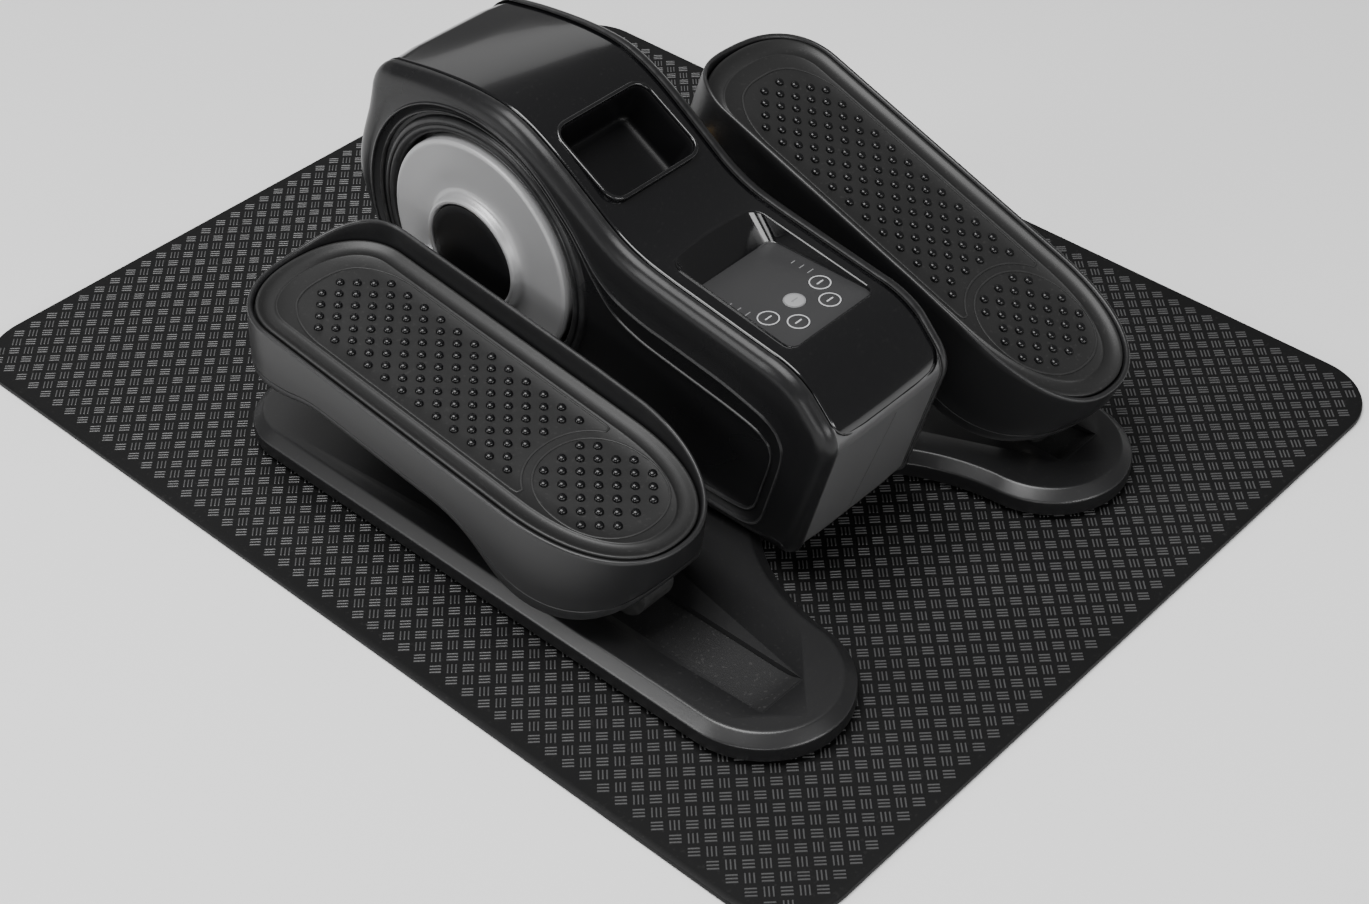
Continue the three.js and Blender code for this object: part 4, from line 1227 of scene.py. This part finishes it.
class ExerciserColors(bpy.types.PropertyGroup):
    """Main colours of the exerciser"""
    body_black: bpy.props.FloatVectorProperty(
        name="Body Black", description="Colour of the satin shells, base and pedals",
        default=(0.0085, 0.0085, 0.009), size=3, min=0, max=1, subtype="COLOR")
    gloss_black: bpy.props.FloatVectorProperty(
        name="Gloss Black", description="Colour of the polished cover",
        default=(0.004, 0.004, 0.0045), size=3, min=0, max=1, subtype="COLOR")
    disc_grey: bpy.props.FloatVectorProperty(
        name="Disc Grey", description="Colour of the crank discs",
        default=(0.38, 0.38, 0.385), size=3, min=0, max=1, subtype="COLOR")
    rubber_black: bpy.props.FloatVectorProperty(
        name="Rubber Black", description="Colour of the footbeds",
        default=(0.013, 0.013, 0.013), size=3, min=0, max=1, subtype="COLOR")
    mat_black: bpy.props.FloatVectorProperty(
        name="Mat Black", description="Colour of the floor mat",
        default=(0.007, 0.007, 0.0072), size=3, min=0, max=1, subtype="COLOR")


class EXERCISER_OT_finishes(bpy.types.Operator):
    """Make every finish"""
    bl_idname = "exerciser.finishes"
    bl_label = "Make Finishes"

    def execute(self, context):
        build_finishes(context.scene.exerciser_colors)
        return {"FINISHED"}


class EXERCISER_OT_shells(bpy.types.Operator):
    """Add the two stepped side shells"""
    bl_idname = "exerciser.shells"
    bl_label = "Add Side Shells"

    def execute(self, context):
        for side_name, side in SIDES.items():
            build_shell(side_name, side)
        return {"FINISHED"}


class EXERCISER_OT_cover(bpy.types.Operator):
    """Add the polished cover, the carry pocket, and the nose and rear panels"""
    bl_idname = "exerciser.cover"
    bl_label = "Add Cover"

    def execute(self, context):
        build_cover()
        build_pocket()
        build_front_and_rear()
        return {"FINISHED"}


class EXERCISER_OT_controls(bpy.types.Operator):
    """Add the key panel, its keys and its marks"""
    bl_idname = "exerciser.controls"
    bl_label = "Add Controls"

    def execute(self, context):
        build_panel()
        build_keys()
        build_marks()
        return {"FINISHED"}


class EXERCISER_OT_cranks(bpy.types.Operator):
    """Add the crank discs and hub caps"""
    bl_idname = "exerciser.cranks"
    bl_label = "Add Cranks"

    def execute(self, context):
        for side_name, side in SIDES.items():
            build_crank(side_name, side)
        return {"FINISHED"}


class EXERCISER_OT_pedals(bpy.types.Operator):
    """Add both pedals with their studded footbeds"""
    bl_idname = "exerciser.pedals"
    bl_label = "Add Pedals"

    def execute(self, context):
        sizes = context.scene.exerciser_sizes
        for side_name, side in SIDES.items():
            build_pedal_body(side_name, side, sizes)
            build_footbed(side_name, side, sizes)
        return {"FINISHED"}


class EXERCISER_OT_base(bpy.types.Operator):
    """Add the lobed base with its roller troughs"""
    bl_idname = "exerciser.base"
    bl_label = "Add Base"

    def execute(self, context):
        build_base()
        return {"FINISHED"}


class EXERCISER_OT_mat(bpy.types.Operator):
    """Add the barred floor mat"""
    bl_idname = "exerciser.mat"
    bl_label = "Add Mat"

    def execute(self, context):
        build_mat(context.scene.exerciser_sizes)
        return {"FINISHED"}


class EXERCISER_OT_working_parts(bpy.types.Operator):
    """Finish the drive, frame, rollers and other working pieces"""
    bl_idname = "exerciser.working_parts"
    bl_label = "Finish Working Parts"

    def execute(self, context):
        finish_carried()
        return {"FINISHED"}


class EXERCISER_OT_stage(bpy.types.Operator):
    """Add the floor, the lights and the camera"""
    bl_idname = "exerciser.stage"
    bl_label = "Add Stage"

    def execute(self, context):
        build_camera()
        build_stage(context.scene.exerciser_sizes)
        return {"FINISHED"}


STEPS = (EXERCISER_OT_finishes, EXERCISER_OT_stage, EXERCISER_OT_mat, EXERCISER_OT_base, EXERCISER_OT_shells,
         EXERCISER_OT_cover, EXERCISER_OT_controls, EXERCISER_OT_cranks, EXERCISER_OT_pedals,
         EXERCISER_OT_working_parts)


class EXERCISER_PT_panel(bpy.types.Panel):
    """Sizes, colours and steps of the pedal exerciser"""
    bl_idname = "EXERCISER_PT_panel"
    bl_label = "Pedal Exerciser"
    bl_space_type = "VIEW_3D"
    bl_region_type = "UI"
    bl_category = "Exerciser"

    def draw(self, context):
        layout = self.layout
        for group in (context.scene.exerciser_sizes, context.scene.exerciser_colors):
            for name in group.__annotations__:
                layout.prop(group, name)
        for step in STEPS:
            layout.operator(step.bl_idname)


CLASSES = (ExerciserSizes, ExerciserColors, *STEPS, EXERCISER_PT_panel)


def register():
    for cls in CLASSES:
        bpy.utils.register_class(cls)
    bpy.types.Scene.exerciser_sizes = bpy.props.PointerProperty(type=ExerciserSizes)
    bpy.types.Scene.exerciser_colors = bpy.props.PointerProperty(type=ExerciserColors)


def unregister():
    del bpy.types.Scene.exerciser_colors
    del bpy.types.Scene.exerciser_sizes
    for cls in reversed(CLASSES):
        bpy.utils.unregister_class(cls)


def main():
    register()
    for step in STEPS:
        area, name = step.bl_idname.split(".")
        getattr(getattr(bpy.ops, area), name)()


if __name__ == "__main__":
    main()
